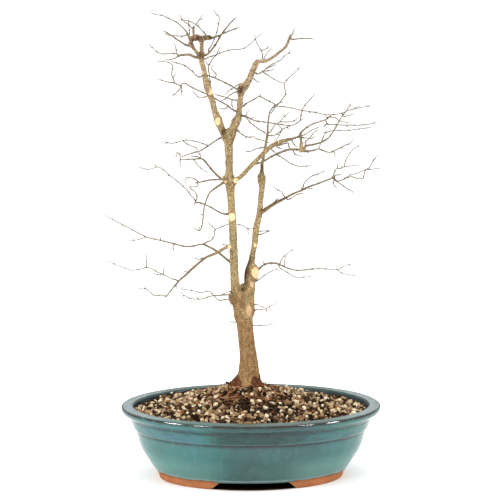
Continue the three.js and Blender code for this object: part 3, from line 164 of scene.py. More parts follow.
# Limbs: name, the limb it grows from, how far its tip lies behind its root (in front if negative), and its
# points on the sheet as x, height and, where it changes, width.
LIMBS = [
    ("stem", "trunk", -6, [(-8, 190, 18), (-13, 205, 15), (-15.5, 220, 14), (-17.5, 232, 12),
     (-18.2, 240, 10.2), (-19.1, 260, 10.2), (-19.7, 280, 10), (-20.3, 300, 9.3), (-21.5, 320, 9),
     (-22.8, 340, 9.2), (-23.3, 350, 11), (-24, 357, 12.5), (-24.3, 363, 10), (-24.5, 370, 8.8),
     (-24.7, 390, 9.6), (-25.2, 400, 10.2), (-24.5, 408, 13), (-23.5, 415, 12)]),
    ("rightStem", "trunk", 12, [(-2, 195, 14), (-1, 210, 13), (-0.5, 220, 12.8), (0, 230, 13),
     (0.5, 240, 13), (1, 250, 10.5), (2.4, 260, 7.5), (3.8, 270, 7), (5.7, 280, 7.5), (7.6, 300, 8.2),
     (10.1, 310, 7.4), (12.2, 320, 7.7), (12.6, 330, 6.4), (14.7, 350, 7.3), (14.2, 360, 10),
     (14.4, 366, 6), (14.6, 370, 4), (14.5, 376, 4), (17, 388, 3.2), (19.5, 403, 3.2), (21.5, 414, 3)]),
    ("stemKnob", "stem", -3, [(-16, 208, 8), (-20.5, 213, 9.5), (-21.5, 217, 9), (-18, 224, 7)]),
    ("scarKnob", "rightStem", -2, [(0.3, 233, 8), (4, 239, 10), (5.8, 246, 11), (4, 253, 9),
     (1.5, 259, 6)]),
    ("leftTop", "stem", -10, [(-27, 405, 8), (-31, 413, 8), (-34, 420, 8.6), (-37, 428, 9.5),
     (-39.5, 435, 8.5), (-41.7, 440, 7.2), (-43.7, 450, 6.9), (-46.5, 458, 7.3), (-50.8, 471, 8.8),
     (-53, 480, 7), (-54.6, 490, 6.2), (-57, 500, 6.6), (-57.3, 507, 5.5)]),
    ("leader", "stem", 12, [(-23, 410, 10), (-19.5, 420, 10), (-16, 427, 10), (-13.3, 434, 8),
     (-12.7, 440, 7), (-10, 460, 6.8), (-8, 466, 8.5), (-4.5, 471, 8.5), (-1.5, 476, 7.5), (4, 489, 7),
     (6.8, 495, 7.3), (9, 498.5, 6)]),
    ("leaderKnob", "leader", -3, [(-10.5, 457, 5), (-12.5, 464, 6), (-10.5, 471, 5)]),
    ("leaderArm", "leader", 34, [(13, 498.5, 4.5), (20, 499.5), (25, 502), (30, 505.5, 3.5), (35, 509.5),
     (43.5, 517, 3.5), (46.5, 525), (48, 527.5, 2.8)]),
    ("leaderTip", "leaderArm", 8, [(51, 532, 1.6), (53, 538, 1.3)]),
    ("leaderTipOut", "leaderArm", 26, [(49.5, 525, 1.8), (60, 525.6), (70, 525.6), (77, 525, 1.2)]),
    ("leaderNub", "leaderArm", -3, [(47, 526, 1.6), (48, 531, 1.4)]),
    ("rightStemTip", "rightStem", 30, [(21.3, 416, 2), (22, 427), (22.7, 433), (23.9, 439), (27, 443.5),
     (30.8, 447.3), (35.4, 449.6), (37.7, 452.6), (43, 461), (41.5, 467), (41, 473), (45, 478), (55, 487),
     (60, 493, 1)]),
    ("rightStemTwin", "rightStemTip", -8, [(25, 437.4, 1.3), (28.5, 442), (33, 447.3), (36.9, 450.3),
     (40.3, 451)]),
    ("crownStub", "leftTop", 4, [(-57, 505, 5.5), (-57, 515, 4.6), (-57, 526, 5.5)]),
    ("crownBarLeft", "crownStub", -8, [(-60, 527, 5), (-64.5, 526, 5.5), (-69, 524, 5), (-71, 519, 4)]),
    ("crownBarRight", "crownStub", 10, [(-54, 526.8, 5), (-50, 526.4, 4.5), (-45.5, 526.4, 3),
     (-37, 529, 2), (-30.4, 532), (-24.3, 534.6), (-13, 538.6, 1.8)]),
    ("crownLeft", "leftTop", -36, [(-59, 505.7, 4.5), (-63, 510.3), (-69, 518.5, 3.6), (-70, 523),
     (-73.5, 531, 3), (-75, 534, 1.7), (-78, 537.5), (-82.3, 541.6), (-86.5, 545), (-90, 547),
     (-99.5, 551.3), (-103.5, 553), (-111, 554), (-117, 556.5, 0.9)]),
    ("crownLeftFork", "crownLeft", 14, [(-73, 517.5, 2.4), (-76.5, 518.8), (-81, 521.5), (-91.7, 528.6),
     (-102, 535, 1.9)]),
    ("crownLeftThin", "crownLeft", -10, [(-76.5, 529.2, 1.4), (-90, 529.2), (-101, 530.5, 1)]),
    ("crownLeftUp", "crownLeft", 6, [(-72, 530, 1.3), (-72, 540), (-73, 548)]),
    ("crownKnob", "crownBarLeft", 2, [(-65.7, 527, 2.6), (-66.5, 535, 2.6), (-66, 540, 2.6)]),
    ("crownKnobOut", "crownKnob", -8, [(-68, 538, 1.3), (-72, 542), (-77, 545.5), (-80, 549)]),
    ("crownArch", "crownBarRight", -10, [(-52, 530, 1.6), (-56, 535), (-61, 540), (-66, 543.5),
     (-72, 546.5), (-80, 547.5), (-84, 547.5, 1)]),
    ("crownArchUp", "crownArch", 5, [(-61, 546, 1.2), (-58, 550), (-55, 553.5)]),
    ("crownArchNub", "crownArch", -2, [(-80, 547.5, 1.2), (-82, 553.5)]),
    ("crownRight", "leftTop", 22, [(-51.6, 506.4, 2.6), (-47.8, 509.5), (-44, 514), (-40.2, 519.2),
     (-34.5, 529), (-28, 538), (-24.3, 542.5), (-16, 550.8, 1.8)]),
    ("crownBack", "crownRight", 30, [(-49, 511.8, 1.5), (-46.3, 516.2), (-43.2, 522.3), (-38, 536.5),
     (-36.8, 543.3), (-36, 550.8), (-38.7, 553.8), (-41.4, 557.2), (-41.8, 560.2, 1)]),
    ("crownLow", "leftTop", -34, [(-59, 502.8, 3.6), (-64.5, 504), (-72, 507), (-76.6, 506.8),
     (-84, 505.7, 2.5), (-87.3, 503.4, 1.5), (-94.8, 501), (-102.7, 500.5, 1)]),
    ("crownLowOut", "crownLow", -24, [(-85.7, 507.5, 1.4), (-90.3, 508.3), (-104, 508), (-109.2, 509.8),
     (-114.5, 514.7), (-119.4, 520, 0.9)]),
    ("crownLowUp", "crownLow", 8, [(-86, 508, 1.2), (-87.2, 513.2), (-89, 520.7)]),
    ("crownDark", "leftTop", 20, [(-47.2, 472.6, 1.4), (-47.5, 480), (-48.7, 493.7), (-46.4, 497.5),
     (-44, 502), (-40.3, 505.8), (-37.6, 511), (-35, 516.3)]),
    ("crownDarkFork", "crownDark", -4, [(-50, 495.7, 1.2), (-53, 499.7)]),
    ("crownLong", "leftTop", 58, [(-52, 502, 1.6), (-49.3, 503.7), (-44.8, 504.9), (-29, 510.8),
     (-20, 512.8), (-12, 513), (-5, 515), (0, 519), (6, 524.5), (14, 532, 0.8)]),
    ("armUp", "leaderArm", -22, [(15, 500, 1.5), (15, 508), (12.5, 513), (7, 524), (5.5, 531, 0.9)]),
    ("armUpFork", "armUp", 4, [(22, 516, 1.2), (20, 518)]),
    ("armUpRight", "leaderArm", 8, [(17, 502, 1.2), (26, 515)]),
    ("fan", "leader", -56, [(10, 484, 1.8), (15, 487), (20, 490.5), (25, 494.5), (30, 497), (38, 501.5),
     (41, 505), (45, 508), (49, 508.5, 0.8)]),
    ("fanLow", "fan", -8, [(15, 487, 1.3), (23.5, 488), (29.5, 489.5)]),
    ("fanMiddle", "fan", 7, [(20, 490.5, 1.3), (26, 493), (32, 495.5)]),
    ("fanDown", "fan", -24, [(16, 486, 1.5), (20, 483.5), (25, 480), (30, 477), (36, 474.5), (41, 473, 1)]),
    ("leaderSide", "leader", -9, [(5, 478, 1.3), (9, 475), (13, 474)]),
    ("longRight", "leader", 80, [(-8, 446, 2), (-4, 449, 1.7), (0, 451.5), (5, 454), (12, 457.5), (15, 456),
     (20, 453), (29, 448.5), (31, 446), (38, 445.5), (52, 443), (60, 441), (79.3, 438), (90, 435.5),
     (99, 435.5), (109.2, 437), (117.9, 440.3), (129.5, 443.2), (143.4, 446.4, 1)]),
    ("longRightNub", "longRight", -2, [(13, 460.5, 1.3)]),
    ("longRightUp", "longRight", 4, [(125, 442.8, 1.2), (131, 445.4)]),
    ("longRightLow", "longRight", -10, [(111.3, 433.5, 1.2), (118, 434.5), (124.5, 435.7)]),
    ("knobTwig", "leader", -58, [(-6.6, 434.4, 2), (-0.5, 431.8), (4.8, 429), (11, 427.8), (23.9, 426),
     (39.2, 423.7), (50, 422.6), (54.4, 424.6), (59, 427.3), (63.6, 431.5, 1)]),
    ("knobUp", "knobTwig", -3, [(-4, 436, 1.2), (-1, 441)]),
    ("knobLow", "leader", -30, [(-5, 433, 1.6), (1, 426), (7, 421.5), (11.7, 417.7), (16.3, 415.4),
     (20, 412.3)]),
    ("upright", "knobTwig", -18, [(60.5, 428, 1.5), (61, 435), (62, 440.5), (66, 447), (70, 451.5),
     (78, 461, 1)]),
    ("topFront", "rightStem", -34, [(24, 410.7, 1.4), (30, 411.5), (33.8, 413.8), (38.4, 417.6),
     (35.4, 422), (32.3, 424.5), (28.5, 425.3, 1)]),
    ("topFrontOut", "topFront", -7, [(43, 420, 1.2), (49, 422.3)]),
    ("topFrontDown", "topFront", 8, [(37.7, 416.8, 1.2), (35.4, 411.5), (32.3, 407), (30, 403)]),
    ("topBack", "rightStemTip", 30, [(23.9, 414.5, 1.4), (27, 419), (29.3, 423), (35.4, 426.7),
     (39.2, 431.3), (47.6, 439, 1)]),
    ("topBackOut", "topBack", 10, [(36, 426.7, 1.2), (53, 428.2), (58.2, 432.8)]),
    ("crossing", "leader", -34, [(-15, 417.7, 1.6), (-12, 414.3), (-7.4, 411.2), (-5, 409.8), (1, 409),
     (4.5, 409.5), (8.7, 406.7), (14.8, 405.2), (23.9, 401.7, 1.2)]),
    ("crossingNub", "crossing", -2, [(-5, 406.5, 1.2)]),
    ("inner", "rightStem", 24, [(16, 396.8, 1.5), (11, 395.7), (7, 395), (1, 392), (-6, 392, 1)]),
    ("diagonal", "stem", -34, [(-18, 358, 5), (-12, 361, 5), (-1.3, 371.8), (8.6, 382), (17, 390, 5.4),
     (20.8, 394, 5.5), (25.4, 397.8), (30.8, 401, 5.2), (35.4, 403.2, 5), (43.7, 405.5), (50.6, 407, 3),
     (56.7, 409, 2.7), (60.5, 410.8, 2.6)]),
    ("diagonalOut", "diagonal", -46, [(60.4, 412.8, 2.2), (64.8, 417.9), (68.4, 420.7), (74.3, 424.3),
     (83.7, 427.3), (91.7, 430.2), (97, 435, 1.4)]),
    ("diagonalTip", "diagonalOut", -14, [(92, 431.5, 1.5), (103, 431.5), (106, 428.5), (110, 427.3),
     (119.5, 425, 1)]),
    ("diagonalFar", "diagonalOut", 40, [(91, 427.3, 1.5), (92.4, 424.5), (97.5, 423.8), (114.3, 423),
     (132.5, 423), (146.3, 424.7), (152, 426.5, 1)]),
    ("diagonalKnot", "diagonalFar", -3, [(87.5, 420.8, 1.6)]),
    ("diagonalMid", "diagonal", 22, [(64, 411, 1.4), (70, 415), (76, 418), (83, 421, 1.1)]),
    ("diagonalFlat", "diagonal", -22, [(60, 409, 1.4), (65, 408), (70, 407.5), (76, 408), (77, 411, 1.1)]),
    ("strand", "diagonal", 6, [(31.5, 400, 2), (42, 401.3), (45.6, 402), (46.8, 397), (49, 394.7, 1.6)]),
    ("strandShort", "diagonal", -7, [(32, 398, 1.4), (36, 395.5), (40, 394.5)]),
    ("strandSide", "diagonal", -5, [(26, 394, 1.4), (32, 389)]),
    ("strandFork", "diagonal", 4, [(50.6, 404, 1.4), (53, 400), (56.7, 397)]),
    ("lowLimb", "diagonal", -56, [(3.5, 376.4, 2), (14, 379, 2.2), (19.3, 381.7), (25.4, 385.5),
     (35.4, 390.2), (46.8, 394, 2.8), (56.7, 394), (66.6, 392, 2.8), (75.6, 392.8, 2), (82, 394.6),
     (91, 391.3), (95.3, 390.4, 1.5), (104, 393.8), (115, 399.3), (120, 401), (124.4, 406.2, 1)]),
    ("riser", "lowLimb", -2, [(61.3, 394, 3.4), (61.3, 403, 3), (61, 410, 2.8)]),
    ("lowHook", "lowLimb", -6, [(102, 388, 1.2), (100.8, 384.4)]),
    ("lowNub", "lowLimb", 3, [(82.8, 396, 1.2), (84.3, 399.7), (85.5, 402)]),
    ("lowBack", "lowLimb", 14, [(51, 394, 1.5), (53, 390), (57, 387), (65, 386, 1.1)]),
    ("lowSweep", "lowLimb", -48, [(31, 388, 1.6), (34, 387), (42, 382), (48, 378), (58, 374), (68, 374),
     (74, 375, 1)]),
    ("swoop", "lowLimb", 70, [(65.5, 396.8, 2.5), (76.4, 400), (85.9, 402.6), (90.2, 405), (93.9, 407.7),
     (97.5, 412), (103.3, 421.5), (109.2, 432.3), (115, 439.6), (121.2, 449, 1.2)]),
    ("swoopUp", "swoop", -10, [(86.5, 404, 1.5), (88.8, 411.4), (91.7, 417.5, 1)]),
    ("swoopOut", "swoopUp", 44, [(90.2, 413.5, 1.4), (94, 415), (99, 416.4), (118, 416.7), (132.5, 418.5),
     (145.6, 420.2, 1)]),
    ("swoopLow", "swoop", -14, [(66, 402, 1.4), (72, 408), (77, 415), (82, 418, 1)]),
    ("rightBranch", "rightStem", 55, [(14, 319, 5), (20, 323, 5), (30, 329.5, 4.2), (42, 335.5, 3),
     (50, 340), (63, 345.5, 2.6), (70, 349), (80, 352.5, 2.2), (97, 359, 2.2), (101, 360.5, 2.6)]),
    ("rightInner", "rightBranch", -20, [(43, 336, 1.5), (40, 340), (38, 344), (34, 345), (28, 350, 1)]),
    ("rightNub", "rightBranch", -8, [(30, 331, 1.4), (35, 336)]),
    ("rightFlat", "rightBranch", -16, [(45, 334, 1.4), (50, 336), (55, 339), (60, 341), (65, 341)]),
    ("rightRise", "rightBranch", -48, [(63, 346, 1.5), (65, 353), (69, 358), (74, 362), (82, 365),
     (90, 368, 1)]),
    ("rightSpurUp", "rightBranch", 3, [(61, 350, 1.3)]),
    ("rightSpurOut", "rightBranch", -6, [(70, 348, 1.3), (76, 347.5)]),
    ("rightUp", "rightBranch", -14, [(100.5, 363, 1.6), (102, 368), (104, 371), (108, 371), (113, 373),
     (130, 374.5, 1)]),
    ("rightUpHigh", "rightUp", 20, [(113, 373, 1.3), (115, 381), (121, 391), (125, 395), (132, 398.5, 1)]),
    ("rightUpNub", "rightUp", -3, [(105, 376, 1.2), (108, 377)]),
    ("rightOut", "rightBranch", 22, [(102, 357, 1.7), (106, 356), (110, 357), (115, 359.5), (122, 361),
     (131, 358.5), (136, 359.5), (137, 363), (138, 368), (143, 372), (149, 382), (154, 387.5, 1)]),
    ("rightOutLow", "rightOut", 6, [(138, 369, 1.3), (147, 370), (158, 371.5, 1)]),
    ("rightOutMid", "rightOut", -18, [(115, 360, 1.3), (120, 363), (126, 364.5), (138, 369, 1)]),
    ("rightShort", "rightBranch", -5, [(102, 362, 1.3), (110, 364)]),
    ("rightDown", "rightBranch", -34, [(104, 355.5, 1.6), (108, 353), (119, 345.5), (124, 343),
     (123.5, 338.5, 1)]),
    ("rightDownIn", "rightBranch", 10, [(101, 357, 1.3), (100, 353), (102, 349.5), (105, 348)]),
    ("lowRight", "rightStem", -95, [(11, 250.5, 3), (15, 254, 2.6), (20, 256.5), (32, 257), (37, 255, 2.2),
     (46, 251), (55, 248.5), (80, 250, 1.6), (105, 249, 1.2)]),
    ("lowRightNub", "lowRight", 2, [(15.5, 260.5, 1.4)]),
    ("lowRightUp", "lowRight", 26, [(36, 256, 1.5), (38, 261), (41, 265.5), (45, 269), (54, 274.5, 1)]),
    ("lowRightUpIn", "lowRight", -8, [(42, 255, 1.3), (41.5, 260), (45, 268)]),
    ("lowRightDrop", "lowRight", -14, [(35, 255, 1.5), (36, 252), (46, 245.5), (51, 242), (56, 240),
     (67, 240), (77, 241.5, 1)]),
    ("lowRightTip", "lowRight", -10, [(105, 249, 1.2), (110, 245), (118, 243), (133, 240, 0.9)]),
    ("lowRightTipUp", "lowRight", 14, [(106, 249, 1.2), (112, 252), (122, 256, 0.9)]),
    ("lowRightUnder", "rightStem", -24, [(8, 235.5, 1.7), (12, 238), (17, 242), (27, 248), (35, 250.5, 1)]),
    ("forkTwig", "rightStem", -26, [(6, 200, 1.5), (9, 201), (18, 201), (25, 205), (35, 209, 1)]),
    ("forkTwigUp", "rightStem", -8, [(5, 207, 1.3), (9, 207), (14, 204.5), (19, 202.5)]),
    ("forkTwigDown", "forkTwig", -3, [(20, 201, 1.2), (21, 197.5), (22.5, 199.5)]),
    ("trunkTwig", "trunk", 24, [(4, 181.5, 1.5), (12, 181.5), (18, 181), (25, 183), (33, 187, 1)]),
    ("trunkTwigLeft", "trunk", -8, [(-15, 186, 1.6), (-22, 186), (-25.5, 189, 1.1)]),
    ("stemTwig", "rightStem", -12, [(12, 292, 1.4), (16, 293), (25, 298)]),
    ("stemTwigBack", "rightStem", 10, [(13, 296, 1.3), (24, 297)]),
    ("leftFlat", "stem", -70, [(-22.5, 219.5, 1.9), (-38, 218.5), (-50, 217), (-53, 215.5), (-73, 215.5),
     (-77, 218), (-81.5, 220), (-82, 225, 0.9)]),
    ("leftFlatRoot", "stem", -14, [(-23, 223.5, 1.4), (-30, 221), (-36, 218.5, 1)]),
    ("leftWave", "stem", 60, [(-22.5, 214, 1.8), (-30, 213.5), (-36, 212), (-44, 219), (-48, 223.5),
     (-60, 222), (-66, 224), (-80, 226.5), (-82, 227), (-83, 231.5, 0.9)]),
    ("leftLow", "stem", -108, [(-28, 277, 4), (-38, 271, 3.8), (-45, 268, 3.4), (-52, 265), (-57, 261.5),
     (-70, 250.5, 3), (-80, 241), (-85, 237, 2.5), (-90, 231), (-95, 225, 1.8), (-101.5, 218, 1.6),
     (-106, 219.5), (-115, 219), (-122, 225), (-128, 230, 1)]),
    ("leftLowTip", "leftLow", -5, [(-126, 227.5, 1.2), (-134, 228)]),
    ("leftLowRoot", "stem", 12, [(-27, 279.5, 1.4), (-34, 280.5)]),
    ("leftLowBack", "leftLow", 14, [(-55, 264, 1.5), (-62, 262.5), (-69, 265.5, 1.1)]),
    ("leftLowNub", "leftLow", 3, [(-75, 247, 1.3), (-80, 248)]),
    ("leftFar", "leftLow", -30, [(-87, 237, 1.5), (-93, 239), (-105, 245), (-110, 247), (-124, 253.5),
     (-130, 251.5), (-142, 250), (-157, 255.5), (-173, 262, 0.9)]),
    ("leftFarUp", "leftFar", 6, [(-124, 254, 1.2), (-124, 270, 0.9)]),
    ("leftFarNub", "leftFar", -2, [(-104, 245, 1.2), (-103.5, 252.5)]),
    ("leftFarFlat", "leftFar", 8, [(-106, 245, 1.2), (-117, 246)]),
    ("leftLowDrop", "leftLow", -5, [(-88, 233, 1.3), (-88.5, 229), (-87, 226)]),
    ("leftMid", "stem", 25, [(-24, 259, 3), (-28, 262.5, 3), (-44, 275), (-50, 278), (-55, 280.5, 2.4),
     (-60, 280.5), (-66, 279), (-76, 278), (-90, 281.5, 2), (-106, 285.5), (-124, 290, 1.5), (-137, 296.8),
     (-155, 306.5), (-165, 312), (-173, 317, 0.9)]),
    ("leftMidFlat", "leftMid", 16, [(-124, 290, 1.3), (-135, 286.5), (-145, 286, 0.9)]),
    ("leftMidNub", "leftMid", -2, [(-106, 291.5, 1.2)]),
    ("leftMidDown", "leftMid", 6, [(-90, 281.5, 1.3), (-92, 279), (-91, 272)]),
    ("leftBehind", "leftMid", 58, [(-55, 281, 1.6), (-46, 286), (-43, 290), (-41.5, 298), (-33, 302),
     (-25, 305), (-15, 304.5), (-8, 303), (-1.5, 299), (4, 300, 1)]),
    ("leftBehindDown", "leftBehind", 3, [(-2, 299, 1.2), (-2, 294), (1, 292.5)]),
    ("leftBehindOut", "leftBehind", 12, [(-41.5, 299, 1.2), (-50, 306.5)]),
    ("leftThird", "stem", 76, [(-30, 317, 2.2), (-50, 327, 1.9), (-61, 331), (-65, 331.5, 2.5),
     (-65, 333, 1.5), (-70, 339), (-75, 346), (-87, 357), (-94, 362.5), (-111.5, 374), (-115, 372.5),
     (-120, 371), (-133, 374, 0.9)]),
    ("leftThirdRoot", "stem", -6, [(-28, 317, 1.3), (-34, 317.5)]),
    ("leftThirdUp", "leftThird", -22, [(-64, 334, 1.4), (-63.5, 341), (-72, 350), (-66, 350), (-62, 351),
     (-61, 354, 1)]),
    ("leftThirdNub", "leftThird", 2, [(-67, 327.5, 1.3)]),
    ("leftNode", "stem", -54, [(-36, 358.5, 2.2), (-48, 358), (-62, 355, 1.8), (-66, 354.5, 1.4)]),
    ("leftNodeUp", "leftNode", -18, [(-61, 355.5, 1.4), (-64, 358), (-75, 361), (-77, 359), (-76, 353, 1)]),
    ("leftDrop", "stem", -76, [(-31, 355, 3), (-35, 352.5, 3), (-43, 347, 2.4), (-47, 344, 2), (-52, 334),
     (-54, 328), (-56, 312), (-58, 301, 1.6), (-60, 297), (-65, 299.5), (-69, 301, 1)]),
    ("leftDropNub", "leftDrop", -2, [(-59.5, 316.5, 1.3)]),
    ("leftRise", "stem", 66, [(-31, 358, 3), (-36, 361, 2.8), (-45, 370), (-54, 381), (-56, 383, 2.2),
     (-67, 383, 1.8), (-83, 382.5, 1.4)]),
    ("leftRiseTip", "leftRise", 6, [(-83, 388, 1.2), (-86.5, 391.5), (-87.5, 386), (-91, 386)]),
    ("leftRiseDown", "leftRise", -3, [(-83, 376, 1.2), (-82, 373.5)]),
    ("leftRiseNub", "leftRise", 6, [(-59, 388, 1.3), (-62, 391.5)]),
    ("leftRiseSide", "leftRise", -10, [(-60, 384, 1.3), (-72, 387)]),
    ("leftRiseFall", "leftRise", -14, [(-67, 382.5, 1.3), (-63, 377), (-58, 372), (-49, 366, 1)]),
    ("leftSlope", "leftTop", 80, [(-31, 410, 2.2), (-37, 407, 1.9), (-54, 396), (-60, 392.5), (-70, 390),
     (-82, 385.5, 1.3)]),
    ("leftSlopeOut", "leftSlope", 6, [(-49, 399, 1.4), (-62, 403.5), (-76, 406), (-94, 402),
     (-103, 405, 0.9)]),
    ("leftSlopeIn", "leftSlopeOut", -12, [(-79, 405, 1.3), (-75, 401.5), (-70, 399), (-63, 396),
     (-62, 391, 1)]),
    ("crossFront", "leader", -112, [(-17, 440, 2), (-27, 447, 1.9), (-38.7, 453.7), (-50, 459.7),
     (-65.4, 466.6), (-79.8, 473, 1.6), (-81.4, 470.7), (-89, 473.4), (-99.5, 475.2), (-109, 478.6, 1)]),
    ("crossFrontDown", "crossFront", -10, [(-82, 468.4, 1.3), (-86.3, 462.7), (-93, 457.4, 1)]),
    ("crossFrontDrop", "crossFront", 6, [(-81, 468.4, 1.2), (-80.8, 459)]),
    ("crossFrontUp", "crossFront", 18, [(-89.7, 475.2, 1.4), (-92.7, 484.6), (-91.2, 490.6), (-92, 495.2),
     (-97.3, 498.2), (-109.8, 499, 0.9)]),
    ("crossFrontUnder", "crossFront", -26, [(-51, 457.5, 1.4), (-54, 456.7), (-60, 456.4), (-68, 464, 1)]),
    ("crossHigh", "leader", -84, [(-16, 466.5, 2.1), (-21.4, 469.5), (-28.2, 473.2), (-34.3, 476.2),
     (-55.6, 482.3, 1.7), (-59.3, 480.4), (-63.8, 482.7), (-67.6, 486.8), (-78.3, 494.8), (-84.4, 496.6),
     (-92.7, 499, 1.2)]),
    ("crossHighUp", "crossHigh", -12, [(-39.6, 483, 1.2), (-45.6, 490.6), (-44, 494)]),
    ("crossShort", "leader", -16, [(-15, 463, 1.6), (-25, 458), (-28, 455), (-35, 452, 1.2)]),
    ("crossUnder", "leader", 14, [(-12, 472, 1.4), (-20, 467), (-25, 464), (-29, 459, 1)]),
    ("crossBack", "leader", 52, [(-16, 453, 1.8), (-21, 453.5), (-26, 455.5), (-42, 460, 1.4)]),
    ("crossBackDown", "crossBack", 4, [(-21, 453, 1.2), (-21.5, 448), (-18.5, 441)]),
    ("crossFlat", "crossFront", 8, [(-28, 443.5, 1.3), (-36, 443)]),
]

# Cuts that show on the front: x and height on the sheet, half width, half height, lean in degrees.
SCARS = [
    (-38, 428, 2.9, 4.8, 0), (-45.5, 463.5, 2.3, 6.4, -32), (-21.5, 313.5, 4.1, 5.2, 0),
    (-24.5, 277, 2.6, 2.4, 30), (7, 246, 4.7, 7.4, 8), (6.6, 279, 1.9, 2.4, 0),
    (-16.5, 357, 3.2, 3.2, 0), (-29, 357, 2.4, 2.8, 0),
]
# Dark places on the bark, partly dark bark and partly painted shade in the fork's crevice and in hollows:
# x, height, half width, half height, how deep the wood sinks, and how dark it is.
STAINS_AND_SHADE = [
    (-7.6, 226, 2.4, 3.8, 1.2, 1), (-7.3, 213, 1.9, 9, 0.4, 0.5), (-0.6, 260, 1.9, 6.5, -0.4, 1),
    (-3.2, 250, 2.6, 8.5, -1.5, 1), (-5.4, 240, 2.7, 8, -1.1, 1), (0.5, 267, 1.4, 6, 0.2, 0.6),
    (-11.6, 465, 3.6, 3.6, 0.4, 1), (14.4, 372, 3, 6, 0, 0.9), (-57, 506, 4, 3.4, 0, 0.9),
    (-46, 528, 4, 3, 0, 0.9), (-60, 526, 4, 3, 0, 0.9), (-67, 522, 2.6, 4, 0, 0.9),
    (-53, 527, 3, 2.4, 0, 0.7), (-31, 415, 2.6, 5, 0, 0.9), (15.5, 322, 3, 1.9, 0, 0.9),
    (19.5, 324.6, 3.2, 1.9, 0, 1), (24, 327.4, 3.4, 1.9, 0, 1), (29, 330.4, 3.4, 1.8, 0, 1),
    (34, 333.2, 3.4, 1.6, 0, 0.9), (39.5, 335.6, 3.4, 1.4, 0, 0.8), (-4, 300, 1.6, 7, 0, 0.35),
    (-17, 330, 1.5, 9, 0, 0.3), (-26, 380, 1.6, 9, 0, 0.35), (11, 345, 1.4, 8, 0, 0.4),
]
# Where bark has come off and the wood under it shows: x, height, half width, half height.
AMBER = [(-1, 199, 3.8, 8), (-12.5, 236, 1.8, 5), (2.5, 231, 2.2, 4)]
# Gnarled places: x, height, half width, half height, and how high the lumps are.
GNARLS = [
    (-57, 507, 6, 5, 1.1), (-58, 525, 6, 6, 1.2), (-67, 522, 6, 6, 1.1), (-49, 527, 6, 4, 1.1),
    (-8, 468, 7, 6, 0.9), (-16, 428, 7, 7, 0.8), (-27, 358, 8, 7, 0.9), (14, 362, 6, 7, 0.8),
    (-36, 430, 6, 8, 0.6), (8, 495, 5, 6, 0.6), (22, 394, 8, 6, 0.7), (42, 404, 16, 7, 0.6),
    (62, 402, 8, 12, 0.8), (62, 344, 5, 5, 0.7), (100, 360, 5, 5, 0.7), (5, 246, 7, 12, 0.5),
    (-22, 214, 4, 12, 0.6), (-24, 410, 9, 9, 1.1), (0, 480, 6, 12, 0.6), (-50, 470, 5, 10, 0.5),
]
# Knots: the limb that each sits on, x and height on the sheet, and radius.
KNOTS = [
    ("leftTop", -57, 507, 4.3), ("crownStub", -57.5, 524.5, 4.1), ("crownBarLeft", -62, 527.5, 3.6),
    ("crownBarLeft", -68, 526, 3.4), ("crownBarRight", -49, 527, 3.2), ("crownLeft", -69, 517.5, 2.9),
    ("stem", -28, 359, 5), ("stem", -19.5, 355.5, 5), ("leader", -8, 469, 5), ("leader", -16, 428, 5.6),
    ("rightStem", 14, 361, 5.4), ("leftTop", -37.5, 430, 5.2), ("diagonal", 20, 393.5, 3.5),
    ("diagonal", 60, 409.5, 2.2), ("rightBranch", 100, 360.5, 2.2), ("leftLow", -100, 218.5, 1.7),
]

# Drains
DRAIN_MESH = {"side": 30, "thickness": 1.2, "strand": 0.62, "strands": 12}
DRAIN_WIRE = {"radius": 0.8, "leg": 5.4, "foot": 10, "bend": 1.4}

# Stage, in metres and watts
# The floor's painted shadow under the pot, darkest in its middle.
SHADOW_UNDER_POT = {"X": 0.1, "Y": 0.072}  # half length and half width of the dark spot under the pot
SURROUND = {"horizon": 0.2, "overhead": 1.3, "sides": 0.25, "front": 0.7, "seen": 1.1}
FLOOR_REACH = 250000.0  # in millimetres, like the other meshes
LAMPS_AIM = (0, 0, 0.2)
LAMPS = (  # name, place, size and power. The glints only show as reflections.
    ("lamp_left", (-1.79, -1.08, 1.0), (0.42, 0.2), 27),
    ("lamp_front", (-1.14, -1.75, 1.0), (0.34, 0.1), 9),
    ("lamp_right", (1.81, -1.04, 1.0), (0.28, 0.2), 18),
    ("lamp_front_right", (1.43, -1.52, 1.0), (0.2, 0.1), 8),
    ("lamp_top", (0.1, 0.3, 2.4), (1.6, 1.2), 14),
    ("glint_left", (-1.885, -0.903, 1.02), (0.44, 0.16), 30),
    ("glint_front", (-1.298, -1.638, 1.02), (0.34, 0.1), 16),
    ("glint_right", (1.894, -0.883, 1.02), (0.28, 0.2), 34),
    ("glint_front_right", (1.3, -1.636, 1.02), (0.26, 0.08), 9),
)

SHADER_SOCKETS = {
    "coat": "Coat Weight", "coat_roughness": "Coat Roughness", "gloss": "Specular IOR Level",
    "metal": "Metallic",
}


# Numbers and lines
def paint(colour):
    """A colour in the linear values that shaders use, written as #rrggbb or in such values already."""
    if not isinstance(colour, str):
        return tuple(colour)
    values = [int(colour[i:i + 2], 16) / 255 for i in (1, 3, 5)]
    return tuple(v / 12.92 if v <= 0.04045 else ((v + 0.055) / 1.055) ** 2.4 for v in values)


def smoothstep(low, high, value):
    share = np.clip((value - low) / (high - low), 0.0, 1.0)
    return share * share * (3 - 2 * share)


def hill(distance):
    """1 where the distance is 0, falling smoothly to 0 by about 2."""
    return np.exp(-distance * distance)


def from_spot(x, height, at_x, at_height, half_width, half_height):
    """How far off each point is from a spot, in the spot's half widths and half heights."""
    return np.hypot((x - at_x) / half_width, (height - at_height) / half_height)


def unit(vectors):
    return vectors / np.maximum(np.linalg.norm(vectors, axis=-1, keepdims=True), 1e-9)


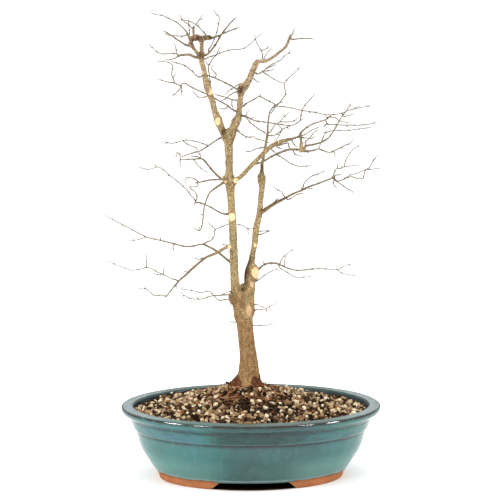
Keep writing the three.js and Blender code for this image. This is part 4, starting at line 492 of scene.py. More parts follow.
def corners_cut(line, passes):
    """Bends an open line softly: each pass cuts its corners at a quarter of the way. Its ends stay."""
    line = np.array(line, float)
    for _ in range(passes):
        near_first = line[:-1] * 0.75 + line[1:] * 0.25
        near_second = line[:-1] * 0.25 + line[1:] * 0.75
        middle = np.stack([near_first, near_second], axis=1).reshape(-1, line.shape[1])
        line = np.vstack([line[:1], middle, line[-1:]])
    return line


def smooth_line(rows, step, pull=0.7):
    """Rows at even steps on a curve through the given ones, whose first three columns bend."""
    rows = np.array(rows, float)
    lengths = np.linalg.norm(np.diff(rows[:, :3], axis=0), axis=1)
    rows = rows[np.concatenate([[True], lengths > 0.05])]
    steps = np.diff(rows[:, :3], axis=0)
    run = np.concatenate([[0], np.cumsum(np.linalg.norm(steps, axis=1))])
    at = np.linspace(0, run[-1], max(3, int(math.ceil(run[-1] / step)) + 1))
    if len(rows) > 2:
        slope = np.gradient(rows[:, :3], run, axis=0)
    else:
        slope = np.tile(steps[0] / run[-1], (2, 1))
    chord = steps / np.diff(run)[:, None]
    i = np.clip(np.searchsorted(run, at, side="right") - 1, 0, len(run) - 2)
    span = (run[i + 1] - run[i])[:, None]
    t = (at - run[i])[:, None] / span
    start = chord[i] * (1 - pull) + slope[i] * pull
    end = chord[i] * (1 - pull) + slope[i + 1] * pull
    bent = (
        (2 * t**3 - 3 * t**2 + 1) * rows[i, :3]
        + (t**3 - 2 * t**2 + t) * span * start
        + (3 * t**2 - 2 * t**3) * rows[i + 1, :3]
        + (t**3 - t**2) * span * end
    )
    return np.column_stack([bent, np.interp(at, run, rows[:, 3]), at])


# Meshes
class Shells:
    """Closed shells gathered for one mesh, in millimetres, with named values at each point."""

    def __init__(self, *names):
        self.points = []
        self.faces = []
        self.values = {name: [] for name in names}
        self.count = 0

    def add(self, points, faces, **values):
        self.points.append(np.asarray(points, float))
        self.faces += [tuple(corner + self.count for corner in face) for face in faces]
        for name, column in self.values.items():
            column.append(np.broadcast_to(np.asarray(values.get(name, 0.0), float), (len(points),)))
        self.count += len(points)

    def tube(self, centres, radii, sides, shape=None, **values):
        self.add(*closed_shell(tube_rings(centres, radii, sides, shape)), **values)

    def piece(self, name):
        values = {key: np.concatenate(column) for key, column in self.values.items()}
        return make_piece(name, np.vstack(self.points), self.faces, values)


def make_piece(name, points, faces, values=None):
    """An object with this mesh. Points are in millimetres."""
    mesh = bpy.data.meshes.new(name)
    mesh.from_pydata((np.asarray(points) * MM).tolist(), [], faces)
    mesh.update()
    put_values(mesh, values or {})
    mesh.polygons.foreach_set("use_smooth", [True] * len(mesh.polygons))
    made = bpy.data.objects.new(name, mesh)
    bpy.context.scene.collection.objects.link(made)
    return made


def put_values(mesh, values):
    """Gives the mesh named values, one for each of its points."""
    for name, column in values.items():
        data = mesh.attributes.new(name, "FLOAT", "POINT").data
        data.foreach_set("value", np.asarray(column, np.float32))


def column_of(items, name, width=3, kind=np.float32):
    flat = np.empty(len(items) * width, kind)
    items.foreach_get(name, flat)
    return flat.reshape(-1, width)


def points_of(mesh):
    """The points of a mesh in millimetres."""
    return column_of(mesh.vertices, "co").astype(float) / MM


def put_points(mesh, points):
    mesh.vertices.foreach_set("co", (points * MM).astype(np.float32).ravel())
    mesh.update()


def reshape(piece, kind, **settings):
    """Runs a modifier on the piece and keeps the shape that it gives."""
    change = piece.modifiers.new(kind, kind)
    for name, value in settings.items():
        setattr(change, name, value)
    graph = bpy.context.evaluated_depsgraph_get()
    shaped = bpy.data.meshes.new_from_object(piece.evaluated_get(graph))
    piece.modifiers.clear()
    old, piece.data = piece.data, shaped
    bpy.data.meshes.remove(old)
    shaped.name = piece.name


def cut_with(piece, tool, operation):
    """Joins a closed tool to the piece, or takes it away. The tool is used up."""
    reshape(piece, "BOOLEAN", operation=operation, solver="EXACT", object=tool)
    bpy.data.objects.remove(tool)


def take_away(piece, points, faces):
    cut_with(piece, make_piece("tool", points, faces), "DIFFERENCE")


def ring_faces(rings, sides, loop=False):
    """Quads over rings of equally many points. A loop also joins the last ring to the first."""
    faces = []
    for ring in range(rings if loop else rings - 1):
        here, after = ring * sides, (ring + 1) % rings * sides
        for side in range(sides):
            turn = (side + 1) % sides
            faces.append((here + side, here + turn, after + turn, after + side))
    return faces


def closed_shell(rings):
    """Points and faces of a skin over an array of rings, with a fan of triangles at each end."""
    count, sides = rings.shape[:2]
    points = np.vstack([rings.reshape(-1, 3), rings[0].mean(0), rings[-1].mean(0)])
    faces = ring_faces(count, sides)
    first, last, start = count * sides, count * sides + 1, (count - 1) * sides
    for side in range(sides):
        turn = (side + 1) % sides
        faces.append((first, turn, side))
        faces.append((last, start + side, start + turn))
    return points, faces


def frames_along(centres):
    """For each point of a line, the direction along it and two directions across that don't twist."""
    along = unit(np.gradient(centres, axis=0))
    across = np.empty_like(along)
    way = np.array([0.0, -1.0, 0.0])
    if abs(way @ along[0]) > 0.9:
        way = np.array([1.0, 0.0, 0.0])
    for i, direction in enumerate(along):
        way = unit(way - direction * (way @ direction))
        across[i] = way
    return along, across, np.cross(along, across)


def tube_rings(centres, radii, sides, shape=None):
    """Rings round a line. shape(angles, heights) may swell the radius."""
    _, across, third = frames_along(centres)
    angles = np.arange(sides) / sides * 2 * math.pi
    reach = np.asarray(radii, float)[:, None] * np.ones(sides)
    if shape is not None:
        reach = reach * shape(angles[None, :], centres[:, 2][:, None])
    return (
        centres[:, None, :]
        + across[:, None, :] * (reach * np.cos(angles))[..., None]
        + third[:, None, :] * (reach * np.sin(angles))[..., None]
    )


def round_ends(centres, radii):
    """A line and its radii with two narrower rings in front of each end, so that the ends close roundly."""
    out_first = unit(centres[0] - centres[1]) * radii[0]
    out_last = unit(centres[-1] - centres[-2]) * radii[-1]
    steps, widths = np.array(END_STEPS)[:, None], np.array(END_WIDTHS)
    return (
        np.vstack([centres[0] + out_first * steps, centres, centres[-1] + out_last * steps[::-1]]),
        np.concatenate([radii[0] * widths, radii, radii[-1] * widths[::-1]]),
    )


def box_shell(size, centre):
    x, y, z = (s / 2 for s in size)
    ring = [(-x, -y), (x, -y), (x, y), (-x, y)]
    rings = np.array([[(a, b, level) for a, b in ring] for level in (-z, z)])
    return closed_shell(rings + np.array(centre))


def relax(points, edges, rounds, strength):
    """Moves each point towards the middle of its neighbours, by its own strength."""
    number = len(points)
    first, second = edges[:, 0], edges[:, 1]
    joined = np.bincount(edges.ravel(), minlength=number)[:, None]
    for _ in range(rounds):
        total = np.column_stack([
            np.bincount(first, points[second, axis], number)
            + np.bincount(second, points[first, axis], number)
            for axis in range(3)
        ])
        points = points + strength[:, None] * (total / joined - points)
    return points


def finish_piece(piece, slot, nodes, *materials):
    """Gives the piece its materials and the CAD nodes it stands for, and lets it ride. The slot is not
    used.
    """
    for material in materials:
        piece.data.materials.append(material)
    if nodes:
        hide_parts(*nodes)
    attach(piece, BODY)


# Settings
def colour_setting(name, about, colour):
    return FloatVectorProperty(
        name=name, description=about, subtype="COLOR", min=0, max=1, default=paint(colour))


def length_setting(name, about, length, least):
    return FloatProperty(name=name, description=about, unit="LENGTH", default=length, min=least)


def number_setting(name, about, number):
    return IntProperty(name=name, description=about, default=number, min=0)


# Materials
class NodeTree:
    """Short calls for the nodes of a material or of the surround."""

    def __init__(self, tree):
        self.tree = tree

    def node(self, kind, inputs=None, **settings):
        made = self.tree.nodes.new(kind)
        for name, value in settings.items():
            setattr(made, name, value)
        for name, value in (inputs or {}).items():
            self.put(made.inputs[name], value)
        return made

    def put(self, socket, value):
        if isinstance(value, bpy.types.NodeSocket):
            self.tree.links.new(value, socket)
        elif socket.type == "RGBA":
            socket.default_value = (*paint(value), 1)
        else:
            socket.default_value = value

    def math(self, operation, first, second=None):
        made = self.node("ShaderNodeMath", operation=operation)
        self.put(made.inputs[0], first)
        if second is not None:
            self.put(made.inputs[1], second)
        return made.outputs[0]

    def times(self, first, *others):
        for other in others:
            first = self.math("MULTIPLY", first, other)
        return first

    def spread(self, value, low, high, least=0.0, most=1.0):
        return self.node("ShaderNodeMapRange", {
            "Value": value, "From Min": low, "From Max": high, "To Min": least, "To Max": most,
        }, interpolation_type="SMOOTHSTEP").outputs["Result"]


class Finish(NodeTree):
    """A material made of nodes."""

    def __init__(self, name, roughness, **constants):
        self.material = bpy.data.materials.new(name)
        self.material.use_nodes = True
        super().__init__(self.material.node_tree)
        self.shader = self.tree.nodes["Principled BSDF"]
        self.shader.inputs["Roughness"].default_value = roughness
        for key, value in constants.items():
            self.shader.inputs[SHADER_SOCKETS[key]].default_value = value
        self.place = self.tree.nodes.new("ShaderNodeTexCoord").outputs["Object"]

    def noise(self, scale, detail=4, roughness=0.55, stretch=(1, 1, 1), distortion=0):
        """Cloudy noise. Scale counts features per metre. A small stretch draws them out along that axis."""
        spot = self.node("ShaderNodeMapping", {"Vector": self.place, "Scale": stretch}).outputs["Vector"]
        return self.node("ShaderNodeTexNoise", {
            "Vector": spot, "Scale": scale, "Detail": detail, "Roughness": roughness,
            "Distortion": distortion,
        }).outputs["Fac"]

    def blots(self, low, high, *cloud, least=0.0, most=1.0):
        """Noise as a share, from least to most where the noise goes from low to high."""
        return self.spread(self.noise(*cloud), low, high, least, most)

    def ramp(self, value, *stops):
        made = self.node("ShaderNodeValToRGB", {"Fac": value})
        marks = made.color_ramp.elements
        while len(marks) < len(stops):
            marks.new(0.5)
        for mark, (position, colour) in zip(marks, stops):
            mark.position = position
            mark.color = (*paint(colour), 1)
        return made.outputs["Color"]

    def mix(self, share, first, second):
        made = self.node("ShaderNodeMix", data_type="RGBA")
        for socket, value in ((0, share), (6, first), (7, second)):
            self.put(made.inputs[socket], value)
        return made.outputs[2]

    def over(self, body, *layers):
        """A colour with others laid over it, each with its share from 0 to 1."""
        for share, colour in layers:
            body = self.mix(share, body, colour)
        return body

    def value(self, name):
        """A value that the mesh holds at each point."""
        return self.node("ShaderNodeAttribute", attribute_name=name).outputs["Fac"]

    def axis(self, letter):
        return self.node("ShaderNodeSeparateXYZ", {"Vector": self.place}).outputs[letter]

    def colour(self, source):
        self.put(self.shader.inputs["Base Color"], source)

    def roughness(self, source):
        self.put(self.shader.inputs["Roughness"], source)

    def relief(self, *layers):
        """Bumps, each given as its source and its height in metres."""
        normal = None
        for source, height in layers:
            made = self.node("ShaderNodeBump", {"Height": source, "Distance": height})
            if normal is not None:
                self.put(made.inputs["Normal"], normal)
            normal = made.outputs["Normal"]
        self.put(self.shader.inputs["Normal"], normal)


def glaze_finish(settings):
    """Teal glaze: cloudy, streaked where it ran down, brown on the rim's edges, dark where it gathers.
    Painted light is laid in its colour: lighter ends, shade across the middle, in the grooves and inside,
    pale highlight lines and a pale reflection on the rim's ends.
    """
    made = Finish("teal_glaze", 0.17, coat=0.12, coat_roughness=0.06, gloss=0.32)
    clouds = made.noise(17, 3, 0.6)
    along, up = made.axis("X"), made.axis("Z")
    aside = made.math("ABSOLUTE", along)
    band, lip = made.value("band"), made.value("lip")
    # left and right lighten the glaze towards the pot's ends: painted light from the sides.
    left, right = made.spread(along, -0.06, -0.14, 0, 0.65), made.spread(along, 0.095, 0.142, 0, 0.55)
    blue = made.times(made.blots(0.5, 0.66, 11, 2, 0.5), made.spread(up, 0.03, 0.075), 0.22)
    # Painted shade: the glaze is darker and greyer across the middle of the pot's length.
    shaded_middle = made.times(made.spread(along, -0.05, 0.0, 0, 0.42), made.spread(along, 0.11, 0.06))
    low = made.times(made.spread(up, 0.046, 0.026), made.spread(aside, 0.02, 0.07), 0.34)
    body = made.over(
        made.mix(made.spread(clouds, 0.36, 0.66), settings.glaze_deep, settings.glaze_pale),
        (made.blots(0.5, 0.74, 120, 4, 0.6, (1, 1, 0.16), 0.6, most=0.35), "#497a75"),
        (made.math("MAXIMUM", left, right), settings.glaze_ends_lit),
        (blue, settings.glaze_blue),
        (shaded_middle, "#343c3e"),
        (low, "#66958d"),
    )
    drawn = made.noise(430, 4, 0.62, (0.2, 0.2, 1), 0.5)
    banded = made.over(
        body,
        (made.spread(drawn, 0.46, 0.62, 0, 0.75), "#22625c"),
        (made.spread(drawn, 0.5, 0.36, 0, 0.7), "#1d3c41"),
    )
    violet = made.times(
        made.spread(along, -0.055, -0.075), made.spread(along, -0.138, -0.12), made.value("undercut"),
        made.blots(0.46, 0.62, 260, 3, 0.6, (0.16, 0.16, 1), 0.4, least=0.05, most=0.5),
    )
    # Painted shade: middle darkens the band across the middle of the pot's length.
    middle = made.times(made.spread(along, -0.062, -0.036), made.spread(along, 0.09, 0.015))
    # edge lays pale lines on the lip's and the band's lower edges and over the foot: painted highlights.
    edge = made.times(made.value("edge"), made.blots(0.3, 0.62, 80, 3, least=0.35, most=0.9))
    # Dark glaze pooled in the grooves under the lip and the band, also painted shade there.
    pooled = made.times(made.value("pooled"), made.blots(0.2, 0.6, 60, 3, least=0.55, most=0.95))
    # The rim's top is greyer than the body and pales towards its left and right ends: painted reflection.
    rim = made.times(made.value("rim"), made.blots(0.3, 0.7, 90, 3, least=0.5, most=0.95))
    # thin: the brown glaze on the rim's edges, at the inner edge also painted shade.
    thin = made.times(made.value("thin"), made.blots(0.3, 0.52, 110, 4, least=0.5))
    made.colour(made.over(
        body,
        (made.times(band, 0.85), banded),
        (violet, "#3c5a76"),
        (made.times(middle, band, 0.72), "#102628"),
        (made.blots(0.58, 0.76, 760, 3, 0.7, most=0.42), "#86aaa1"),
        (made.blots(0.64, 0.8, 1500, 2, 0.6, most=0.45), "#183232"),
        (edge, "#7c918d"),
        (pooled, made.mix(made.blots(0.42, 0.6, 26, 2), "#172c2e", "#2f2a2e")),
        (rim, made.mix(made.spread(aside, 0.07, 0.14), "#44564f", "#8a9294")),
        (thin, made.mix(made.blots(0.4, 0.6, 45, 3), settings.glaze_edge, "#16201a")),
        # The inner wall below the rim is darkened: painted shade, with thicker glaze.
        (made.value("inside"), "#202a2b"),
    ))
    made.roughness(made.mix(lip, made.spread(clouds, 0.3, 0.7, 0.12, 0.24), "#0f0f0f"))
    made.put(made.shader.inputs["Coat Weight"], made.math("MAXIMUM", made.times(lip, 0.4), 0.12))
    made.relief((made.noise(55, 2, 0.5), 0.0005), (made.noise(900, 2, 0.5), 0.00004))
    return made.material


def clay_finish(settings):
    """Fired clay without glaze, with grog in it, dark along the glaze, and near black under the bowl as
    painted shade.
    """
    made = Finish("bare_terracotta", 0.85, gloss=0.2)
    made.colour(made.over(
        made.mix(made.blots(0.35, 0.68, 70, 4), settings.clay, [min(1, c * 1.3) for c in settings.clay]),
        (made.blots(0.56, 0.74, 1300, 3, 0.7, most=0.6), "#71452c"),
        (made.blots(0.62, 0.76, 950, 2, 0.6, most=0.5), "#cfa07c"),
        (made.blots(0.56, 0.75, 28, 3, most=0.45), "#82583c"),
        (made.times(made.value("seam"), made.blots(0.3, 0.6, 130, 3, least=0.5)), "#4c3527"),
        # Painted shade: the clay under the bowl, between the feet, is near black.
        (made.value("under"), "#20150f"),
    ))
    made.relief((made.noise(420, 4, 0.65), 0.00035), (made.noise(2200, 2), 0.00012))
    return made.material


def grain_finish(settings):
    """Gravel: each grain holds its own tone, from dark through tan to pale, and a few are burnt orange."""
    made = Finish("grit_grains", 0.92, gloss=0.05)
    tone = made.value("tone")
    light = made.times(made.blots(0.6, 0.78, 900, 2, 0.6, most=0.45), made.spread(tone, 0.2, 0.5))
    lilac = made.times(made.blots(0.54, 0.64, 230, 1, most=0.45), made.spread(tone, 0.3, 0.5))
    made.colour(made.over(
        made.ramp(
            tone, (0.0, settings.dark), (0.2, "#20110b"), (0.29, "#4c3424"), (0.38, "#7a6246"),
            (0.5, settings.tan), (0.64, "#a18b67"), (0.74, settings.pale), (0.9, "#cfbf9f"),
            (0.975, "#dccfb6"), (0.985, "#8f5a3a"), (1.0, "#7a4529"),
        ),
        (made.blots(0.45, 0.7, 300, 3, 0.6, most=0.4), "#6a5436"),
        (made.blots(0.6, 0.78, 1900, 3, 0.7, most=0.4), "#33251a"),
        (light, "#d8c9aa"),
        (lilac, "#a28a7c"),
    ))
    made.relief((made.noise(1100, 4, 0.65), 0.0003), (made.noise(3800, 2), 0.0001))
    return made.material


def humus_finish(settings):
    """Dark fines between the grains, made near black as painted shade in the gaps between them."""
    made = Finish("dark_fines", 0.95, gloss=0.02)
    made.colour(made.ramp(
        made.noise(900, 5, 0.7), (0.3, "#0a0604"), (0.52, settings.dark), (0.72, "#35241a")))
    made.relief((made.noise(520, 5, 0.7), 0.0014))
    return made.material


def fibre_finish():
    made = Finish("root_fibre", 0.8, gloss=0.25)
    made.colour(made.ramp(made.noise(260, 4, 0.6), (0.3, "#4c2814"), (0.5, "#85502a"), (0.7, "#c69460")))
    made.relief((made.noise(1500, 3), 0.0002))
    return made.material


def bark_finish(settings):
    """Maple bark: mottled tan on the stems, brown and streaked on the trunk, olive brown on young twigs."""
    made = Finish("maple_bark", 0.82, gloss=0.06)
    up, scar = made.axis("Z"), made.value("scar")
    mottle = made.noise(230, 5, 0.62, (1, 1, 0.55), 0.4)
    fine = made.noise(1250, 4, 0.66, (1, 1, 0.6))
    streak = made.noise(420, 4, 0.6, (1, 1, 0.07), 0.3)
    grain = made.noise(760, 4, 0.75, (1, 1, 0.8), 0.2)
    rosy = made.over(
        made.ramp(mottle, (0.3, "#6a5444"), (0.46, "#8e765d"), (0.6, "#a48e76"), (0.74, "#c3b198")),
        (made.blots(0.53, 0.63, 210, 3, 0.6, (1, 1, 0.6), most=0.6), "#684334"),
    )
    stems = made.over(
        made.ramp(mottle, (0.3, "#5f5139"), (0.42, settings.tan), (0.58, "#95815b"), (0.72, "#a99672")),
        (made.blots(0.5, 0.62, 150, 4, 0.6, (1, 1, 0.6), most=0.4), "#746c48"),
        (made.spread(up, 0.39, 0.47, 0, 0.75), rosy),
        (made.spread(grain, 0.49, 0.36, 0, 0.85), "#3c2c1b"),
        (made.spread(grain, 0.52, 0.66, 0, 0.75), "#d8c49a"),
    )
    trunk = made.over(
        made.ramp(mottle, (0.28, "#644930"), (0.45, settings.brown), (0.62, "#957450"), (0.76, "#ad8e66")),
        (made.spread(streak, 0.52, 0.7, 0, 0.3), "#b5966a"),
        (made.spread(grain, 0.5, 0.36, 0, 0.8), "#4a331d"),
        (made.spread(grain, 0.54, 0.68, 0, 0.6), "#c9ab7c"),
    )
    edge_of_trunk = made.math("ADD", up, made.blots(0.3, 0.7, 30, 3, least=-0.03, most=0.03))
    tones = made.noise(330, 4, 0.6)
    shoots = made.over(
        made.ramp(tones, (0.32, "#44372a"), (0.5, settings.twig), (0.66, "#8a7758"), (0.8, "#b39d76")),
        (made.blots(0.5, 0.62, 60, 2, most=0.5), settings.shoot),
    )
    rough = made.noise(330, 5, 0.65, (1, 1, 0.3))
    made.colour(made.over(
        made.mix(made.spread(edge_of_trunk, 0.245, 0.17), stems, trunk),
        (made.spread(streak, 0.46, 0.3, 0, 0.35), "#5b472f"),
        (made.spread(fine, 0.54, 0.68, 0, 0.65), "#46331f"),
        (made.times(made.value("amber"), made.spread(mottle, 0.3, 0.6, 1, 0.6)), "#cfa881"),
        (made.value("young"), shoots),
        (made.value("bud"), "#4c3428"),
        # Dark bark, and painted shade in the fork's crevice and in hollows.
        (made.times(made.value("stain"), made.spread(mottle, 0.3, 0.62, 1, 0.7)),
         made.ramp(fine, (0.35, "#1c100a"), (0.6, "#4a2f1c"))),
        (made.value("rooty"), made.ramp(rough, (0.3, "#23100b"), (0.5, "#4a2818"), (0.7, "#7c4a2c"))),
        (made.spread(scar, 0.02, 0.45), "#a47648"),
        (made.spread(scar, 0.4, 0.8),
         made.ramp(made.noise(300, 4, 0.6), (0.3, "#bf9a6c"), (0.5, "#d8bd90"), (0.7, "#e8d8b8"))),
    ))
    made.roughness(made.spread(fine, 0.3, 0.7, 0.72, 0.92))
    made.relief((mottle, 0.0005), (fine, 0.00022))
    return made.material


def netting_finish(settings):
    made = Finish("drain_netting", 0.55)
    made.colour(made.mix(made.blots(0.4, 0.7, 220, 3), settings.netting, "#3a3d40"))
    made.relief((made.noise(900, 2), 0.0001))
    return made.material


def wire_finish(settings):
    made = Finish("soft_wire", 0.4, metal=1.0)
    made.colour(made.mix(made.blots(0.4, 0.68, 160, 3), settings.wire, "#5b3f2c"))
    made.roughness(made.blots(0.3, 0.7, 500, 3, least=0.32, most=0.55))
    return made.material


def floor_finish(settings):
    """A plain pale floor with a painted shadow, dark in the middle of the place that the pot stands on."""
    made = Finish("pale_floor", 0.9, gloss=0.0)
    plain = made.mix(made.blots(0.3, 0.7, 0.7, 2), settings.floor, [c * 0.995 for c in settings.floor])
    across, deep = (made.math("DIVIDE", made.axis(axis), half) for axis, half in SHADOW_UNDER_POT.items())
    out = made.math("ADD", made.times(across, across), made.times(deep, deep))
    made.colour(made.mix(made.spread(out, 1.1, 0.92), plain, "#1f120d"))
    return made.material


# Pot
def oval(half_length, half_width, inset, height, steps=OVAL_STEPS):
    angles = np.arange(steps) / steps * 2 * math.pi
    return np.column_stack([
        (half_length - inset) * np.cos(angles),
        (half_width - inset) * np.sin(angles),
        np.full(steps, height, float),
    ])


def inset_of(points, half_length, half_width):
    """How far inside the rim's outer edge the oval through each point lies."""
    low, high = np.full(len(points), -4.0), np.full(len(points), half_width - 1.0)
    for _ in range(36):
        middle = (low + high) / 2
        outside = np.hypot(points[:, 0] / (half_length - middle), points[:, 1] / (half_width - middle)) > 1
        low, high = np.where(outside, low, middle), np.where(outside, middle, high)
    return (low + high) / 2


def foot_ring(half_length, half_width):
    """The ring the bowl stands on, opened at the front and the back."""
    rings = np.array([oval(half_length, half_width, inset, height) for inset, height in FOOT])
    faces = ring_faces(len(FOOT), OVAL_STEPS, loop=True)
    ring = make_piece("foot_ring", rings.reshape(-1, 3), faces)
    past = 2
    top = FOOT[0][1] + past
    slope = (FOOT_GAP["top"] - FOOT_GAP["bottom"]) / FOOT_GAP["height"]
    wide, narrow = FOOT_GAP["bottom"] - slope * past, FOOT_GAP["bottom"] + slope * top
    depth = half_width + 10
    take_away(ring, *closed_shell(np.array([
        [(-wide, y, -past), (wide, y, -past), (narrow, y, top), (-narrow, y, top)] for y in (depth, -depth)
    ])))
    reshape(
        ring, "BEVEL", width=SOFT_EDGE * MM, segments=3, limit_method="ANGLE", angle_limit=math.radians(40))
    return ring


def outside_inset(height):
    """The outer wall's inset at each height."""
    outer = np.array(sorted((at, out) for out, at in OUTER_WALL))
    return np.interp(height, outer[:, 0], outer[:, 1])


def glaze_marks(points, inset):
    """How strongly each of the glaze's changes shows at each point."""
    height = points[:, 2]

    def spot(at_inset, at_height, reach):
        return hill(np.hypot(inset - at_inset, height - at_height) / reach)

    marks = {
        name: np.maximum.reduce([strength * spot(*where) for strength, *where in spots])
        for name, spots in GLAZE_SPOTS.items()
    }
    # A pale line where the glaze ends over the foot: painted highlight.
    foot_highlight = 0.9 * hill((height - GLAZE_FOOT - 0.7) / 0.9) * (inset < 42)
    marks["edge"] = np.maximum(marks["edge"], foot_highlight)
    # The rim's flat top, whose colour pales towards the ends as painted reflection.
    marks["rim"] = smoothstep(87.2, 87.9, height) * (inset < 14)
    # The inner wall below the rim, where the glaze is darkened as painted shade, with thicker glaze.
    marks["inside"] = (inset > outside_inset(height) + WALL_THICKNESS / 2) * smoothstep(87.2, 85.5, height)
    marks["seam"] = hill((height - GLAZE_FOOT) / 1.3)
    # Under the bowl inside the foot: where the clay carries painted shade.
    marks["under"] = (inset > 46) * (height < 11)
    marks["undercut"] = smoothstep(58, 61, height) * smoothstep(84, 80, height)
    band = smoothstep(59, 61, height) * smoothstep(87.6, 86.8, height)
    marks["band"] = band * (1 - 0.55 * spot(1, 81, 2.4))
    return marks


class PotSettings(bpy.types.PropertyGroup):
    length: length_setting("Length", "Across the rim from left to right", POT_HIGH.x - POT_LOW.x, 0.1)
    width: length_setting("Width", "Across the rim from front to back", POT_HIGH.y - POT_LOW.y, 0.1)
    glaze_deep: colour_setting("Deep glaze", "Where the glaze is thick", "#264f4d")
    glaze_pale: colour_setting("Pale glaze", "Where the glaze is cloudy", "#2f605c")
    # The lighter glaze at the left and right ends is painted light from the sides.
    glaze_ends_lit: colour_setting(
        "Glaze at the ends", "Thinner glaze at the left and the right end", "#42706c")
    glaze_blue: colour_setting("Blue glaze", "Blue clouds near the band", "#405f7c")
    glaze_edge: colour_setting("Edge of the glaze", "Thin glaze on the rim's edges", "#22190e")
    clay: colour_setting("Clay", "Fired clay without glaze", "#995f39")


class BONSAI_OT_pot(bpy.types.Operator):
    """Builds the oval bowl with its rim, band, feet and drain holes"""

    bl_idname = "bonsai.pot"
    bl_label = "Pot"

    def execute(self, context):
        settings = context.scene.bonsai_pot
        half_length, half_width = settings.length / 2 / MM, settings.width / 2 / MM
        wall = np.vstack([corners_cut(OUTER_WALL, 2), corners_cut(INNER_WALL, 2)])
        rings = np.array([oval(half_length, half_width, inset, height) for inset, height in wall])
        pot = make_piece("glazed_pot", *closed_shell(rings))
        cut_with(pot, foot_ring(half_length, half_width), "UNION")
        for side in (-1, 1):
            line = np.array([(side * DRAIN["offset"], 0, z) for z in (-1.0, 30.0)])
            take_away(pot, *closed_shell(tube_rings(line, [DRAIN["radius"]] * 2, 64)))
        self.paint_pot(pot, settings, half_length, half_width)
        return {"FINISHED"}

    def paint_pot(self, pot, settings, half_length, half_width):
        """Marks the glaze's changes, and gives the faces without glaze to the clay."""
        mesh = pot.data
        points = points_of(mesh)
        put_values(mesh, glaze_marks(points, inset_of(points, half_length, half_width)))
        mesh.materials.clear()
        middles = column_of(mesh.polygons, "center") / MM
        height = middles[:, 2]
        inner = inset_of(middles, half_length, half_width) > outside_inset(height) + WALL_THICKNESS / 2
        angle = np.arctan2(middles[:, 1] / half_width, middles[:, 0] / half_length)
        wave = 0.45 * np.sin(angle * 9 + 1) + 0.3 * np.sin(angle * 23 + 2)
        between_feet = np.abs(middles[:, 0]) < FOOT_GAP["bottom"] - 4
        bare_foot = height < GLAZE_FOOT - LOWER_BETWEEN_FEET * between_feet + wave
        clay = bare_foot | (inner & (height < CLAY_DEPTH + 3 * wave))
        mesh.polygons.foreach_set("use_smooth", [True] * len(mesh.polygons))
        mesh.set_sharp_from_angle(angle=math.radians(38))
        finish_piece(pot, "pot", ["pot"], glaze_finish(settings), clay_finish(settings))
        mesh.polygons.foreach_set("material_index", clay.astype(np.int32))


# Soil
def mound(x, y):
    """Height of the soil's surface."""
    out = np.hypot(x / (HALF_LENGTH - SOIL["wall"]), y / (HALF_WIDTH - SOIL["wall"]))
    from_trunk = np.hypot(x - TRUNK_FOOT[0], y - TRUNK_FOOT[1])
    collar = SOIL["collar"] * np.exp(-((from_trunk / SOIL["collar_reach"]) ** 2))
    back = smoothstep(SOIL["back_from"], HALF_WIDTH - SOIL["wall"], y)
    left = smoothstep(-SOIL["back_from"], SOIL["back_from"], SOIL["right_end"] - x)
    back = back * left * SOIL["back_rise"]
    return SOIL["edge"] + SOIL["rise"] * (1 - np.minimum(1, out * out)) + collar + back


def ball():
    """Points and triangles of a sphere of 42 points, twenty faces split once."""
    golden = (1 + math.sqrt(5)) / 2
    points = [Vector(p).normalized() for p in (
        (-1, golden, 0), (1, golden, 0), (-1, -golden, 0), (1, -golden, 0),
        (0, -1, golden), (0, 1, golden), (0, -1, -golden), (0, 1, -golden),
        (golden, 0, -1), (golden, 0, 1), (-golden, 0, -1), (-golden, 0, 1),
    )]
    faces = [
        (0, 11, 5), (0, 5, 1), (0, 1, 7), (0, 7, 10), (0, 10, 11), (1, 5, 9), (5, 11, 4), (11, 10, 2),
        (10, 7, 6), (7, 1, 8), (3, 9, 4), (3, 4, 2), (3, 2, 6), (3, 6, 8), (3, 8, 9), (4, 9, 5), (2, 4, 11),
        (6, 2, 10), (8, 6, 7), (9, 8, 1),
    ]
    halves = {}

    def half(a, b):
        key = (min(a, b), max(a, b))
        if key not in halves:
            halves[key] = len(points)
            points.append((points[a] + points[b]).normalized())
        return halves[key]

    split = []
    for a, b, c in faces:
        ab, bc, ca = half(a, b), half(b, c), half(c, a)
        split += [(a, ab, ca), (b, bc, ab), (c, ca, bc), (ab, bc, ca)]
    return np.array([tuple(p) for p in points]), np.array(split)


def turns(draw, count):
    """Rotations drawn at random, as matrices."""
    q = unit(draw.normal(size=(count, 4)))
    w, x, y, z = q.T
    return np.stack([
        1 - 2 * (y * y + z * z), 2 * (x * y - z * w), 2 * (x * z + y * w),
        2 * (x * y + z * w), 1 - 2 * (x * x + z * z), 2 * (y * z - x * w),
        2 * (x * z - y * w), 2 * (y * z + x * w), 1 - 2 * (x * x + y * y),
    ], axis=1).reshape(count, 3, 3)


def chipped_grains(draw, centres, sizes):
    """Angular grains: a ball cut back to a few planes drawn for each grain, then squeezed and turned."""
    directions, faces = ball()
    count = len(centres)
    planes = unit(draw.normal(size=(count, CHIPS["planes"], 3)))
    depths = draw.uniform(*CHIPS["depths"], size=(count, CHIPS["planes"], 1))
    facing = np.einsum("gpc,vc->gpv", planes, directions)
    reach = np.where(facing > 0.05, depths / np.maximum(facing, 0.05), 9.0).min(axis=1)
    reach = np.minimum(reach, CHIPS["reach"])
    squeeze = draw.uniform(*CHIPS["squeeze"], size=(count, 1, 3))
    shapes = directions[None] * reach[..., None] * squeeze * (sizes / 2)[:, None, None]
    turned = np.einsum("gij,gvj->gvi", turns(draw, count), shapes)
    points = (turned + centres[:, None, :]).reshape(-1, 3)
    offsets = (np.arange(count) * len(directions))[:, None, None]
    return points, (faces[None] + offsets).reshape(-1, 3)


